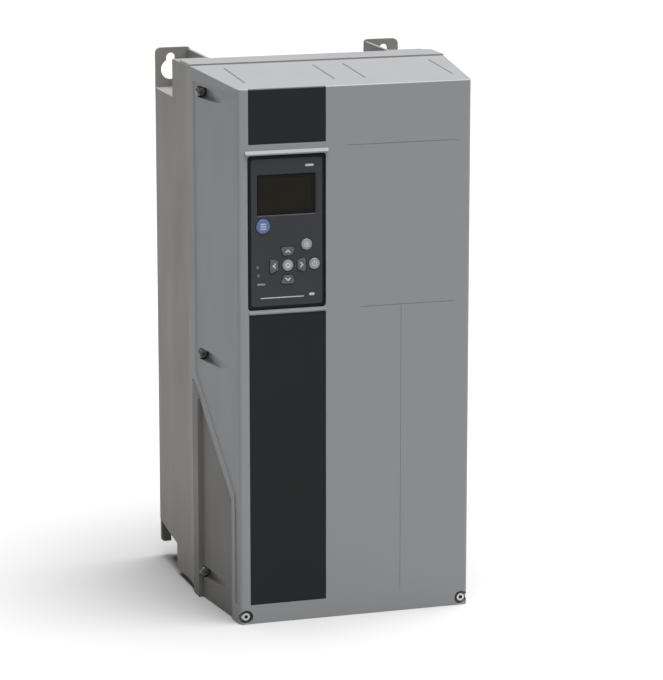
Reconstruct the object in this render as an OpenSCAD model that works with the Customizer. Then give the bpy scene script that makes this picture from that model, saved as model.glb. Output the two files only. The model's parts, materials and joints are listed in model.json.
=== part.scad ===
// Wall-mounted variable frequency drive in a splash-proof enclosure.
// Seen from the front, X points right and Z up; Y points back to the wall.
// The origin is under the middle of the whole box. A depth is counted forward
// from the wall, so depth 0 is the rear face of the back plate.

/* [Enclosure] */
// Width over the side walls
body_w = 242; // [240:1:246]
// Depth from the wall to the front panel
body_d = 242; // [241:1:246]
// Height to the top of the cover's lip
body_h = 494; // [492:1:498]
// Depth of the rear housing, where the cover's seam lies
rear_d = 130; // [129:1:131]
// How far each side of the cover leans in towards the front
draft = 13; // [12:0.5:14]
// Wall thickness of the housing and the frame
wall = 3; // [2.8:0.1:3.2]
// Wall thickness of the front cover
cover_wall = 2.5; // [2.3:0.1:2.7]

/* [Wall mounting] */
// Distance between the two hanging holes, and between the two slots
hole_spacing = 210; // [206:1:212]
// Height from a bottom slot's end to a keyhole's neck
hole_rise = 454; // [450:1:456]
// Radius of the keyholes' wide part
keyhole_r = 9.5; // [9:0.5:10]
// Half the width of the keyholes' necks and the bottom slots
slot_r = 4.5; // [4:0.5:5]

/* [Keypad] */
// Width of the keypad
keypad_w = 71; // [70:0.5:71.5]
// Height of the keypad
keypad_h = 137.6; // [136.6:0.2:138.2]
// How far each key goes in
key_travel = 0.8; // [0.6:0.1:0.9]

/* [Cable entries] */
// Radius of the three power entries
entry_big_r = 16.25; // [15.5:0.25:16.5]
// Radius of the control cable's entry
entry_mid_r = 12.75; // [12:0.25:13]
// Radius of the small entries
entry_small_r = 10.25; // [9.75:0.25:10.5]

/* [Heat sink] */
// Number of fins
fin_count = 23; // [19:1:25]
// Thickness of a fin
fin_t = 2.2; // [1.8:0.2:2.6]
// Side of the square fans
fan_size = 80; // [78:1:80]

/* [Hidden] */
$fn = 48;
proud = 2;
overall_d = body_d + proud;
back_y = overall_d / 2;
half_w = body_w / 2;
eps = 0.01;

// Back plate with its ears
plate_t = 4;
plate_x = half_w - 2;
ear_x = [86, 119.4];
ear_top = body_h - 1;
fork_low = 14;
fork_end = 29.5;
neck_z = fork_end + hole_rise;
keyhole_z = neck_z - 11;
slot_x = [hole_spacing / 2 - slot_r, hole_spacing / 2 + slot_r];

// Rear housing
floor_z = 6;
roof_z = body_h - 3;
duct_d = 90;
recess_z = 452;
recess_x = 86;
pocket_d = 68;
pocket_x = 98;
pocket_roof = [38, 30];
rim_x = 106;
rim_d = rear_d - 4;

// Side screws and the lower frame
screw_x = 116;
screw_z = [472, 231.5];
frame_screw = [116, 25];
head_r = 4.5;
shank_r = 2.1;
scoop_r = 5.5;
flange_d = 147;
frame_d = 222;
frame_inset = 5;
field_inset = 2.2;
field_gap = 1.2;
diag_low = 112;
diag_high = 204;
diag_d = 133;
overlap_z = 12;
corner_screw = [102.5, 6.6];

// Cover
lip_d = 94;
lip_gap = 0.4;
shoulder_z = body_h - 3;
brow_z = body_h - 8.3;
edge = 1.5;
strip_x = [-98.6, -27.4];
strip_low = [17.4, 284.4];
strip_high = [436.6, 484];
ledge_low = [285.2, 288.2];
ledge_high = [427, 431.2];
groove_x = [-93.5, -10.5, 18, 100.5];

// Keypad, its cradle and its keys
key_c = [-63.4, 357.6];
fit_gap = 0.6;
corner_r = 2.6;
cradle_d = [169, 236];
cradle_floor = [210, 214];
housing_d = [214, 241];
face_d = [239, 241.4];
face_size = [66, 132.2];
screen_c = [-63.6, 391.2];
screen_size = [53.2, 35.6];
board_d = [226, 227.6];
cap_d = [235.2, face_d[1] + key_travel];
key_flange_d = [236, 238];
key_gap = 0.4;
plug_c = [-63.5, 356];
menu_c = [-85.2, 363.5];
info_c = [-45.2, 345.6];
ok_c = [-62.6, 327.6];
power_c = [-38, 327.7];
arrow_in = 8.7;
arrow_out = 16.7;
lamp_c = [[-90.4, 326.8], [-89.6, 319.4]];
lamp_bar_c = [-87, 311.2];

// Electronics
module_x = [-65, 0, 65];
board_z = [238, 444];
power_board_d = [108, 109.6];
can_x = [-51, -17, 17, 51];
can_z = [384, 420];
tray_d = [166, 169];
control_board_d = [173, 174.6];
pole_x = [-88, -62, -36];

// Gland plate and its entries, each [x, depth, radius]
window_x = 92;
window_d = [140, 214];
entries = [
    [-64, 186, entry_big_r],
    [-18, 186, entry_big_r],
    [28, 186, entry_big_r],
    [70, 186, entry_mid_r],
    [5, 152, entry_small_r]
];
plugged = [[-41, 152], [50, 152]];
gland_screw = [95, 137.2, 216.5];

// Fins and fans
fin_x = 94;
fin_d = [8, 82];
fan_x = 45;
fan_depth = 47;
fan_z = [424, 449];
fan_hole_r = 37.5;
fan_bore_r = 1.56;
fan_shaft_r = 1.5;
blade_count = 7;

function at(depth) = back_y - depth;
function side_x(depth) = half_w - draft * (depth - rear_d) / (body_d - rear_d);
function diag_z(depth) = diag_high - (diag_high - diag_low) * (depth - diag_d) / (frame_d - diag_d);

// A block from x[0] to x[1], over two depths and two heights
module slab(x, depth, z) {
    translate([x[0], at(depth[1]), z[0]])
        cube([x[1] - x[0], depth[1] - depth[0], z[1] - z[0]]);
}

// A round bar that points forward
module rod_y(x, z, depth, r) {
    translate([x, at(depth[0]), z])
        rotate([90, 0, 0])
        cylinder(r = r, h = depth[1] - depth[0]);
}

// A round bar that stands up
module rod_z(x, depth, z, r) {
    translate([x, at(depth), z[0]])
        cylinder(r = r, h = z[1] - z[0]);
}

// An outline in X and Z with a thickness over two depths
module front_sheet(depth) {
    translate([0, at(depth[0]), 0])
        rotate([90, 0, 0])
        linear_extrude(depth[1] - depth[0])
        children();
}

// An outline in depth and Z with a thickness from x[0] to x[1]
module side_sheet(x) {
    translate([x[1], back_y, 0])
        rotate([90, 0, -90])
        linear_extrude(x[1] - x[0])
        children();
}

module both_sides() {
    children();
    mirror([1, 0, 0]) children();
}

// A rectangle about a centre with round corners
module round_rect(centre, size, r) {
    translate(centre) {
        square([size[0] - 2 * r, size[1]], center = true);
        square([size[0], size[1] - 2 * r], center = true);
        for (i = [-1, 1], j = [-1, 1])
            translate([i * (size[0] / 2 - r), j * (size[1] / 2 - r)])
            circle(r = r);
    }
}

// A block whose sides lean in with the cover's, inset from the cover's sides
module drafted_block(inset, depth, z, bevel = 0) {
    rear_x = side_x(depth[0]) - inset;
    near_x = side_x(depth[1] - bevel) - inset;
    front_x = side_x(depth[1]) - inset - bevel;
    translate([0, 0, z[0]])
        linear_extrude(z[1] - z[0])
        polygon([
            [-rear_x, at(depth[0])],
            [rear_x, at(depth[0])],
            [near_x, at(depth[1] - bevel)],
            [front_x, at(depth[1])],
            [-front_x, at(depth[1])],
            [-near_x, at(depth[1] - bevel)]
        ]);
}

// ---- Rear part ----

module back_plate() {
    color("#8d8a86")
    difference() {
        union() {
            slab([-plate_x, plate_x], [0, plate_t], [fork_low, recess_z]);
            both_sides()
                front_sheet([0, plate_t])
                polygon([
                    [ear_x[0], recess_z - 1],
                    [ear_x[1], recess_z - 1],
                    [ear_x[1], ear_top - 5],
                    [ear_x[1] - 5, ear_top],
                    [ear_x[0], ear_top]
                ]);
        }
        both_sides() {
            rod_y(hole_spacing / 2, keyhole_z, [-1, plate_t + 1], keyhole_r);
            rod_y(hole_spacing / 2, neck_z, [-1, plate_t + 1], slot_r);
            slab(slot_x, [-1, plate_t + 1], [keyhole_z, neck_z]);
            rod_y(hole_spacing / 2, fork_end, [-1, plate_t + 1], slot_r);
            slab(slot_x, [-1, plate_t + 1], [0, fork_end]);
        }
    }
}

// Side wall of the rear housing, notched for the mounting pockets
module housing_side() {
    side_sheet([half_w - wall, half_w])
        polygon([
            [plate_t, pocket_roof[0]],
            [pocket_d, pocket_roof[1]],
            [pocket_d, floor_z],
            [rear_d, floor_z],
            [rear_d, roof_z],
            [pocket_d, roof_z],
            [pocket_d, recess_z + 4],
            [plate_t, recess_z + 4]
        ]);
}

// Walls round the four corner pockets where the fixing screws go
module housing_pockets() {
    slab([recess_x, half_w], [plate_t, pocket_d + wall], [recess_z + 1, recess_z + 4]);
    slab([recess_x, half_w], [pocket_d, pocket_d + wall], [recess_z + 1, roof_z]);
    slab([recess_x, recess_x + wall], [plate_t, duct_d + wall], [recess_z - wall, roof_z]);
    slab([pocket_x, pocket_x + wall], [plate_t, pocket_d + wall], [floor_z, pocket_roof[0]]);
    slab([pocket_x, half_w], [pocket_d, pocket_d + wall], [floor_z, pocket_roof[1]]);
    side_sheet([pocket_x, half_w])
        polygon([
            [plate_t, pocket_roof[0]],
            [pocket_d, pocket_roof[1]],
            [pocket_d + wall, pocket_roof[1]],
            [pocket_d + wall, pocket_roof[1] + wall],
            [plate_t, pocket_roof[0] + wall]
        ]);
}

module rear_housing() {
    color("#7d7a76")
    difference() {
        union() {
            both_sides() {
                housing_side();
                housing_pockets();
                for (z = screw_z)
                    rod_y(screw_x, z, [110, rear_d], head_r);
                rod_y(frame_screw[0], frame_screw[1], [110, rear_d], head_r);
                slab([rim_x, half_w], [rim_d, rear_d], [floor_z, roof_z]);
            }
            slab([-half_w, half_w], [duct_d + wall - eps, rear_d], [roof_z - wall, roof_z]);
            both_sides()
                slab([recess_x, half_w], [pocket_d, rear_d], [roof_z - wall, roof_z]);
            slab([-half_w + wall, half_w - wall], [duct_d, duct_d + wall], [floor_z, roof_z]);
            slab([-recess_x - wall, recess_x + wall], [plate_t, duct_d + wall], [recess_z - wall, recess_z]);
            slab([-pocket_x - wall, pocket_x + wall], [plate_t, rear_d], [floor_z, floor_z + wall]);
            both_sides()
                slab([pocket_x, half_w], [pocket_d, rear_d], [floor_z, floor_z + wall]);
            slab([-half_w + wall, half_w - wall], [rim_d, rear_d], [roof_z - 13, roof_z]);
        }
        both_sides() {
            for (z = screw_z)
                rod_y(screw_x, z, [109, rear_d + 1], shank_r + 0.2);
            rod_y(frame_screw[0], frame_screw[1], [109, rear_d + 1], shank_r + 0.2);
            rod_z(fan_x, fan_depth, [recess_z - wall - 1, recess_z + 1], fan_hole_r);
        }
        slab([-100, 100], [duct_d - 1, duct_d + wall + 1], [60, 404]);
        slab([-84, 84], [12, 88], [floor_z - 1, floor_z + wall + 1]);
    }
}

// Scoops that the frame's two screws sit in, with a wall left round them
module frame_scoop(r, depth) {
    both_sides()
        rod_y(frame_screw[0], frame_screw[1], depth, r);
}

// The frame's side view: forward to a depth, and up to a height over the cover's slanting edge
module frame_profile(front, rise) {
    side_sheet([-half_w, half_w])
        polygon([
            [rear_d, 0],
            [front, 0],
            [front, diag_z(front) + rise],
            [diag_d, diag_high + rise],
            [rear_d, diag_high + rise]
        ]);
}

module lower_frame() {
    field_d = frame_d - field_gap;
    color("#5f5e5a")
    difference() {
        union() {
            both_sides()
                side_sheet([108, half_w])
                polygon([
                    [rear_d, 0],
                    [flange_d, 0],
                    [flange_d, diag_z(flange_d) - field_gap],
                    [diag_d, diag_high - field_gap],
                    [rear_d, diag_high - field_gap]
                ]);
            difference() {
                union() {
                    intersection() {
                        drafted_block(frame_inset, [rear_d, frame_d], [0, 240]);
                        frame_profile(frame_d, overlap_z);
                    }
                    intersection() {
                        drafted_block(field_inset, [rear_d, field_d], [0, 240]);
                        frame_profile(field_d, -field_gap);
                    }
                }
                drafted_block(frame_inset + wall, [rear_d - 1, frame_d + 1], [wall, 250]);
            }
            intersection() {
                frame_scoop(scoop_r + 2.5, [rear_d, 200]);
                drafted_block(frame_inset, [rear_d, frame_d], [0, 240]);
            }
            intersection() {
                both_sides()
                    rod_y(corner_screw[0], corner_screw[1], [200, frame_d], 4.4);
                drafted_block(frame_inset, [rear_d, frame_d], [0, 240]);
            }
        }
        frame_scoop(scoop_r, [flange_d, 230]);
        frame_scoop(shank_r + 0.2, [rear_d - 1, flange_d + 1]);
        both_sides()
            rod_y(corner_screw[0], corner_screw[1], [202, frame_d + 1], shank_r + 0.2);
        slab([-window_x, window_x], window_d, [-1, wall + 1]);
        both_sides()
            for (d = [gland_screw[1], gland_screw[2]])
                rod_z(gland_screw[0], d, [0.8, wall + 1], shank_r + 0.1);
    }
}

module air_intake() {
    bars = 5;
    half = 84;
    pitch = 2 * half / (bars + 1);
    color("#3c3c3e") {
        difference() {
            slab([-96, 96], [8, 112], [0, floor_z]);
            slab([-half, half], [12, 88], [-1, floor_z + 1]);
        }
        for (i = [1:bars])
            slab([-half + i * pitch - 1, -half + i * pitch + 1], [12, 88], [1, floor_z - 1]);
    }
}

module heat_sink() {
    color("#b4b6b8") {
        slab([-106, 106], [fin_d[1], duct_d], [52, 412]);
        slab([-99, 99], [duct_d, duct_d + wall], [61, 403]);
    }
}

// Fins that are bonded to the heat sink's plate, one by one
module heat_sink_fins() {
    pitch = (2 * fin_x - fin_t) / (fin_count - 1);
    color("#b4b6b8")
    for (i = [0:fin_count - 1])
        slab([-fin_x + i * pitch, -fin_x + i * pitch + fin_t], fin_d, [60, 404]);
}

// ---- Fans ----

module fan_frame_one() {
    half = fan_size / 2;
    difference() {
        union() {
            difference() {
                slab([-half, half], [fan_depth - half, fan_depth + half], fan_z);
                rod_z(0, fan_depth, [fan_z[0] - 1, fan_z[1] + 1], fan_hole_r);
            }
            rod_z(0, fan_depth, [fan_z[0], fan_z[0] + 3.5], 16);
            for (a = [45:90:315])
                translate([0, at(fan_depth), fan_z[0]])
                rotate([0, 0, a])
                translate([14, -1.5, 0])
                cube([25, 3, 3]);
        }
        rod_z(0, fan_depth, [fan_z[0] - 1, fan_z[0] + 5], fan_bore_r);
    }
}

module fan_frames() {
    color("#2b2b2d")
    for (x = [-fan_x, fan_x])
        translate([x, 0, 0])
        fan_frame_one();
}

module fan_grilles() {
    color("#9a9c9e")
    for (x = [-fan_x, fan_x])
        translate([x, at(fan_depth), recess_z]) {
            for (r = [8, 18, 28, 38])
                difference() {
                    cylinder(r = r + 1.6, h = 1.6);
                    translate([0, 0, -1]) cylinder(r = r, h = 4);
                }
            for (a = [45:90:315])
                rotate([0, 0, a])
                translate([8.5, -1, 0])
                cube([30, 2, 1.6]);
        }
}

module fan_rotor(x) {
    hub = [429, 446];
    color("#222224")
    translate([x, 0, 0]) {
        rod_z(0, fan_depth, [fan_z[0] + 0.5, hub[0] + 1], fan_shaft_r);
        rod_z(0, fan_depth, hub, 17);
        for (i = [0:blade_count - 1])
            translate([0, at(fan_depth), (hub[0] + hub[1]) / 2])
            rotate([0, 0, i * 360 / blade_count])
            translate([26, 0, 0])
            rotate([40, 0, 0])
            cube([20, 1.6, 16], center = true);
    }
}

module fan_rotor_left() {
    fan_rotor(-fan_x);
}

module fan_rotor_right() {
    fan_rotor(fan_x);
}

// ---- Power electronics ----

module power_modules() {
    face = duct_d + wall;
    color("#2c2f33")
    for (x = module_x) {
        slab([x - 29, x + 29], [face, face + 11], [300, 384]);
        for (i = [-2:2], z = [308, 376])
            slab([x + i * 11 - 1, x + i * 11 + 1], [face + 11, power_board_d[0]], [z - 2, z + 2]);
    }
}

module power_board() {
    color("#1f5a3a")
    difference() {
        slab([-106, 106], power_board_d, board_z);
        board_holes(1.7, [107, 111]);
    }
}

module board_holes(r, depth) {
    for (x = [-103, 103], z = [246, 341, 436])
        rod_y(x, z, depth, r);
}

module board_standoffs() {
    face = duct_d + wall;
    color("#b59b55") {
        difference() {
            board_holes(2.8, [face, power_board_d[0]]);
            board_holes(1.7, [face + 3, power_board_d[0] + 1]);
        }
        for (x = [0, 102], z = [142, 224])
            rod_y(x, z, [face, face + 3], 3);
    }
}

module board_screws() {
    color("#c4c6c8") {
        board_holes(2.7, [power_board_d[1], power_board_d[1] + 2.4]);
        board_holes(1.5, [98, power_board_d[1] + 1]);
    }
}

module dc_capacitors() {
    color("#23262b")
    for (x = can_x, z = can_z)
        rod_y(x, z, [power_board_d[1], 160], 15.5);
}

module dc_chokes() {
    face = duct_d + wall;
    color("#8b5a34")
    for (x = [-80, -34]) {
        slab([x - 19, x + 19], [face, face + 48], [146, 220]);
        slab([x - 21, x + 21], [face + 6, face + 42], [158, 208]);
    }
}

module filter_board() {
    color("#1f5a3a")
    slab([-4, 106], [96, 97.6], [138, 228]);
}

module filter_chokes() {
    color("#3f4d3a")
    for (z = [160, 204])
        translate([76, at(97.6), z])
        rotate([90, 0, 0])
        rotate_extrude()
        translate([7, 0])
        square([11, 15]);
}

module filter_capacitors() {
    color("#c9c4b4")
    for (z = [146, 170, 194])
        slab([6, 46], [97.6, 118], [z, z + 16]);
}

// ---- Terminals and cable clamps ----

// A block of three terminals: wires enter from below, screws from the front
module terminal_block() {
    difference() {
        slab([-101, -23], [duct_d + wall, 132], [62, 104]);
        for (x = pole_x) {
            rod_z(x, 118, [61, 84], 4.5);
            rod_y(x, 94, [118, 133], 3.6);
        }
    }
}

module mains_terminals() {
    color("#3a3f46")
    terminal_block();
}

module motor_terminals() {
    color("#3a3f46")
    mirror([1, 0, 0]) terminal_block();
}

module terminal_screws() {
    color("#b9bbbd")
    both_sides()
        for (x = pole_x)
            rod_y(x, 94, [118, 124], 3.3);
}

module clamp_rail() {
    color("#c2c4c6")
    difference() {
        slab([-100, 100], [105, 108], [20, 46]);
        for (x = [-88:22:88])
            rod_y(x, 25, [104, 109], 1.7);
    }
    color("#c2c4c6")
    both_sides()
        slab([88, 100], [duct_d + wall, 105], [20, 46]);
}

module cable_clamps() {
    color("#b0b2b4")
    for (x = [-64, -18, 28, 70])
        difference() {
            slab([x - 14, x + 14], [108, 122], [28, 42]);
            rod_z(x, 118, [27, 43], 8);
        }
}

// ---- Control electronics ----

module control_tray() {
    color("#4a4c4f")
    difference() {
        union() {
            slab([-110, 110], tray_d, [250, 438]);
            both_sides() {
                slab([107, 110], [rear_d, tray_d[1]], [250, 430]);
                slab([107, 112.5], [rear_d, rear_d + wall], [250, 430]);
            }
        }
        slab([-92, -34], [tray_d[0] - 1, tray_d[1] + 1], [292, 420]);
        for (z = [290, 400])
            slab([10, 80], [tray_d[0] - 1, tray_d[1] + 1], [z, z + 12]);
    }
}

module control_holes(r, depth) {
    for (x = [-12, 100], z = [284, 426])
        rod_y(x, z, depth, r);
}

module control_board() {
    color("#1f5a3a")
    difference() {
        slab([-16, 104], control_board_d, [258, 430]);
        control_holes(1.7, [172, 176]);
    }
}

module control_standoffs() {
    color("#b59b55") {
        control_holes(2.8, [tray_d[1], control_board_d[0]]);
        control_holes(1.5, [control_board_d[0] - 1, control_board_d[1] + 2]);
        control_holes(2.7, [control_board_d[1], control_board_d[1] + 2.2]);
    }
}

module control_terminals() {
    count = 12;
    pitch = 7;
    color("#3f6d4c")
    difference() {
        slab([-14, -14 + count * pitch], [control_board_d[1], 188], [258, 274]);
        for (i = [0:count - 1])
            rod_y(-14 + (i + 0.5) * pitch, 268, [184, 189], 1.6);
    }
}

module relay_terminals() {
    count = 3;
    pitch = 9;
    color("#2f3338")
    difference() {
        slab([74, 74 + count * pitch], [control_board_d[1], 190], [258, 276]);
        for (i = [0:count - 1])
            rod_y(74 + (i + 0.5) * pitch, 270, [186, 191], 1.9);
    }
}

// ---- Keypad cradle ----

module keypad_outline(margin, r) {
    round_rect(key_c, [keypad_w + 2 * margin, keypad_h + 2 * margin], r);
}

module keypad_cradle() {
    outer = 5.4;
    color("#303236")
    difference() {
        front_sheet(cradle_d) keypad_outline(outer, corner_r + outer);
        front_sheet([cradle_floor[1], cradle_d[1] + 1]) keypad_outline(fit_gap, corner_r + fit_gap);
        front_sheet([cradle_d[0] - 1, cradle_floor[0]]) keypad_outline(outer - wall, corner_r);
        slab([plug_c[0] - 7.5, plug_c[0] + 7.5], [cradle_floor[0] - 1, cradle_floor[1] + 1], [350, 362]);
    }
}

module keypad_socket() {
    color("#111214")
    difference() {
        slab([plug_c[0] - 11, plug_c[0] + 11], [198, cradle_floor[0]], [348, 364]);
        slab([plug_c[0] - 6.2, plug_c[0] + 6.2], [202, cradle_floor[0] + 1], [351.6, 360.4]);
    }
}

module keypad_seal() {
    color("#1a1a1b")
    difference() {
        front_sheet([cradle_d[1], body_d - cover_wall]) keypad_outline(4.6, corner_r + 4.6);
        front_sheet([cradle_d[1] - 1, body_d]) keypad_outline(2.2, corner_r + 2.2);
    }
}

// ---- Gland plate ----

module gland_plate() {
    color("#a9abad")
    difference() {
        slab([-98, 98], [134.5, 219], [4, 6.5]);
        for (e = entries)
            rod_z(e[0], e[1], [3, 8], e[2]);
        for (p = plugged)
            rod_z(p[0], p[1], [3, 8], entry_small_r);
        both_sides()
            for (d = [gland_screw[1], gland_screw[2]])
                rod_z(gland_screw[0], d, [3, 8], shank_r + 0.1);
    }
}

module gland_gasket() {
    color("#1c1c1d")
    difference() {
        slab([-98, 98], [134.5, 219], [wall, wall + 1]);
        slab([-window_x, window_x], window_d, [2, 5]);
        both_sides()
            for (d = [gland_screw[1], gland_screw[2]])
                rod_z(gland_screw[0], d, [2, 5], shank_r + 0.1);
    }
}

module gland_screws() {
    color("#c4c6c8")
    both_sides()
        for (d = [gland_screw[1], gland_screw[2]]) {
            rod_z(gland_screw[0], d, [1, 7], shank_r - 0.1);
            rod_z(gland_screw[0], d, [6.5, 9], 2.9);
        }
}

module gland_plugs() {
    color("#333538")
    for (p = plugged) {
        rod_z(p[0], p[1], [1.2, 4], 11.4);
        rod_z(p[0], p[1], [3.9, 10], entry_small_r - 0.15);
        translate([p[0], at(p[1]), 6.5]) cylinder(r = 13, h = 3.5, $fn = 6);
    }
}

// ---- Seals and screws between the parts ----

// Line along which the cover seals on the lower frame, as a band
module seal_band() {
    side_sheet([-half_w, half_w])
        polygon([
            [diag_d, diag_high + overlap_z],
            [frame_d, diag_low + overlap_z],
            [frame_d, 0.5],
            [frame_d + 2.5, 0.5],
            [frame_d + 2.5, diag_low + overlap_z + 1.2],
            [diag_d + 2, diag_high + overlap_z + 2.2],
            [diag_d, diag_high + overlap_z + 2.2]
        ]);
}

module cover_gasket() {
    seal_d = [rear_d, rear_d + 3];
    color("#1c1c1d") {
        difference() {
            slab([-116.5, 116.5], seal_d, [diag_high + overlap_z + 2.2, 484]);
            slab([-113.5, 113.5], [rear_d - 1, rear_d + 4], [200, 481]);
            both_sides()
                rod_y(screw_x, screw_z[0], [rear_d - 1, rear_d + 4], shank_r + 0.4);
            both_sides()
                rod_y(screw_x, screw_z[1], [rear_d - 1, rear_d + 4], shank_r + 0.4);
        }
        difference() {
            intersection() {
                seal_band();
                difference() {
                    drafted_block(5.4, [rear_d, 230], [0, 240]);
                    drafted_block(7.6, [rear_d - 1, 231], [-1, 241]);
                }
            }
            both_sides()
                rod_y(corner_screw[0], corner_screw[1], [frame_d - 1, frame_d + 4], shank_r + 0.4);
        }
        slab([-98, 98], [frame_d, frame_d + 2.5], [0.5, 2.5]);
    }
}

module frame_screws() {
    color("#8f9193") {
        both_sides() {
            rod_y(frame_screw[0], frame_screw[1], [112, flange_d + 1], shank_r);
            rod_y(frame_screw[0], frame_screw[1], [flange_d, flange_d + 4], head_r);
        }
    }
}

module side_screws() {
    color("#8f9193")
    both_sides()
        for (z = screw_z) {
            rod_y(screw_x, z, [112, flange_d], shank_r);
            difference() {
                rod_y(screw_x, z, [flange_d - 1, flange_d + 4], head_r);
                rod_y(screw_x, z, [flange_d + 1.5, flange_d + 5], 1.6, $fn = 6);
            }
        }
}

module corner_screws() {
    color("#c4c6c8")
    both_sides() {
        rod_y(corner_screw[0], corner_screw[1], [204, 237], shank_r);
        difference() {
            rod_y(corner_screw[0], corner_screw[1], [236, 240.4], 4.2);
            rod_y(corner_screw[0], corner_screw[1], [237.5, 241], 1.8, $fn = 6);
        }
    }
}

// ---- Front cover ----

module cover_profile(inset) {
    polygon([
        [rear_d - (inset > 0 ? 1 : 0), inset],
        [rear_d - (inset > 0 ? 1 : 0), body_h - (inset > 0 ? inset + 3 : 0)],
        [rear_d + 1, body_h - (inset > 0 ? inset + 3 : 0)],
        [rear_d + 1, shoulder_z - inset],
        [body_d - inset - edge, brow_z - inset],
        [body_d - inset, brow_z - inset - edge],
        [body_d - inset, inset]
    ]);
}

// The whole outer form, before the lower sides are cut away
module cover_form() {
    intersection() {
        drafted_block(0, [rear_d, body_d], [0, body_h], edge);
        side_sheet([-half_w, half_w]) cover_profile(0);
    }
}

module cover_hollow() {
    intersection() {
        drafted_block(cover_wall, [rear_d - 1, body_d - cover_wall], [0, body_h], edge);
        side_sheet([-half_w, half_w]) cover_profile(cover_wall);
    }
}

// Ribs that press on the gasket, and walls round the screws
module cover_inside() {
    difference() {
        slab([-120, 120], [rear_d + 3, rear_d + 6], [diag_high + overlap_z + 6, 488]);
        slab([-112.8, 112.8], [rear_d + 2, rear_d + 7], [200, 480]);
    }
    intersection() {
        side_sheet([-half_w, half_w])
            polygon([
                [frame_d + 2.5, 1],
                [frame_d + 2.5, diag_low + overlap_z + 1.2],
                [diag_d + 2, diag_high + overlap_z + 2.2],
                [diag_d + 3, diag_high + overlap_z + 4.6],
                [frame_d + 5, diag_low + overlap_z + 3],
                [body_d - 1, diag_low + overlap_z + 3],
                [body_d - 1, 1]
            ]);
        difference() {
            drafted_block(1, [rear_d, body_d], [0, 250]);
            drafted_block(8, [rear_d - 1, body_d + 1], [-1, 251]);
        }
    }
    both_sides() {
        for (z = screw_z)
            rod_y(screw_x, z, [rear_d + 3.4, body_d - 2], scoop_r + 2.5);
        rod_y(corner_screw[0], corner_screw[1], [frame_d + 2.8, body_d - 1], 7.5);
    }
}

module cover_ledges() {
    slab([strip_x[0] - 3, strip_x[1] + 2], [body_d - 1, body_d + proud], ledge_high);
    slab([strip_x[0], strip_x[1]], [body_d - 1, body_d + proud - 0.4], ledge_low);
}

module front_cover() {
    color("#8a8b8d")
    difference() {
        union() {
            difference() {
                cover_form();
                cover_hollow();
            }
            intersection() {
                cover_form();
                cover_inside();
            }
            slab([-half_w, half_w], [lip_d, rear_d + 1], [roof_z + lip_gap, body_h]);
            cover_ledges();
        }
        side_sheet([-half_w - 1, half_w + 1])
            polygon([
                [rear_d - 1, diag_high],
                [diag_d, diag_high],
                [frame_d, diag_low],
                [frame_d, -1],
                [rear_d - 1, -1]
            ]);
        slab([-106, 106], [frame_d - 1, frame_d + 2.5], [-1, cover_wall + 0.1]);
        front_sheet([body_d - 8, body_d + 1]) keypad_outline(fit_gap, corner_r + fit_gap);
        slab([strip_x[0], strip_x[1]], [body_d - 1, body_d + 1], strip_low);
        slab([strip_x[0], strip_x[1]], [body_d - 1, body_d + 1], [strip_high[0], body_h - 8]);
        for (x = groove_x)
            side_sheet([x - 0.9, x + 0.9])
            polygon([[150, 489], [213, 486], [213, body_h], [150, body_h]]);
        both_sides() {
            for (z = screw_z) {
                rod_y(screw_x, z, [flange_d - 1, body_d + 1], scoop_r);
                rod_y(screw_x, z, [rear_d - 1, flange_d], shank_r + 0.3);
            }
            rod_y(corner_screw[0], corner_screw[1], [236, body_d + 1], 6.3);
            rod_y(corner_screw[0], corner_screw[1], [frame_d + 1, 237], shank_r + 0.3);
        }
    }
}

module inlay(z) {
    slab([strip_x[0] + 0.2, strip_x[1] - 0.2], [body_d - 1, body_d], [z[0] + 0.2, z[1] - 0.2]);
}

module upper_inlay() {
    color("#2d2e30")
    inlay(strip_high);
}

module lower_inlay() {
    color("#2d2e30")
    inlay(strip_low);
}

// ---- Keypad ----

module keypad_housing() {
    color("#18191b")
    difference() {
        union() {
            difference() {
                front_sheet(housing_d) keypad_outline(0, corner_r);
                front_sheet([housing_d[0] + 2, housing_d[1] + 1]) keypad_outline(-4, 2);
            }
            for (x = [-26, 26], z = [-58, 58])
                rod_y(key_c[0] + x, key_c[1] + z, [housing_d[0] + 1, board_d[0]], 3);
        }
        front_sheet([face_d[0], housing_d[1] + 1])
            round_rect(key_c, [face_size[0] + 0.6, face_size[1] + 0.6], corner_r);
    }
}

// Outline of an arrow key: a wedge that widens away from the round key
module wedge_outline(margin) {
    half_in = 4 + margin;
    half_out = 6.5 + margin;
    polygon([
        [-half_in, arrow_in - margin],
        [half_in, arrow_in - margin],
        [half_out, arrow_out - 1.6 + margin],
        [half_out - 1.2, arrow_out + margin],
        [-half_out + 1.2, arrow_out + margin],
        [-half_out, arrow_out - 1.6 + margin]
    ]);
}

// Outlines of all keys in the face, grown by a margin
module key_outlines(margin) {
    translate(menu_c) circle(r = 6.5 + margin);
    for (c = [info_c, ok_c, power_c])
        translate(c) circle(r = 5 + margin);
    for (a = [0:90:270])
        translate(ok_c) rotate(a) wedge_outline(margin);
}

module keypad_faceplate() {
    color("#3b3d40")
    difference() {
        front_sheet(face_d) round_rect(key_c, face_size, corner_r);
        front_sheet([face_d[0] - 1, face_d[1] + 1])
            translate(screen_c) square([screen_size[0] + 0.4, screen_size[1] + 0.4], center = true);
        front_sheet([face_d[0] - 1, face_d[1] + 1]) key_outlines(key_gap);
        for (c = lamp_c)
            rod_y(c[0], c[1], [face_d[0] - 1, face_d[1] + 1], 1.7);
        front_sheet([face_d[0] - 1, face_d[1] + 1])
            translate(lamp_bar_c) square([8.4, 2.4], center = true);
    }
}

module display_window() {
    color("#1c1d18")
    front_sheet([238.6, 240.8])
        translate(screen_c) square(screen_size, center = true);
}

module display_module() {
    color("#4d5240")
    front_sheet([board_d[1], 238.6])
        translate(screen_c) square([55, 40], center = true);
}

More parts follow.
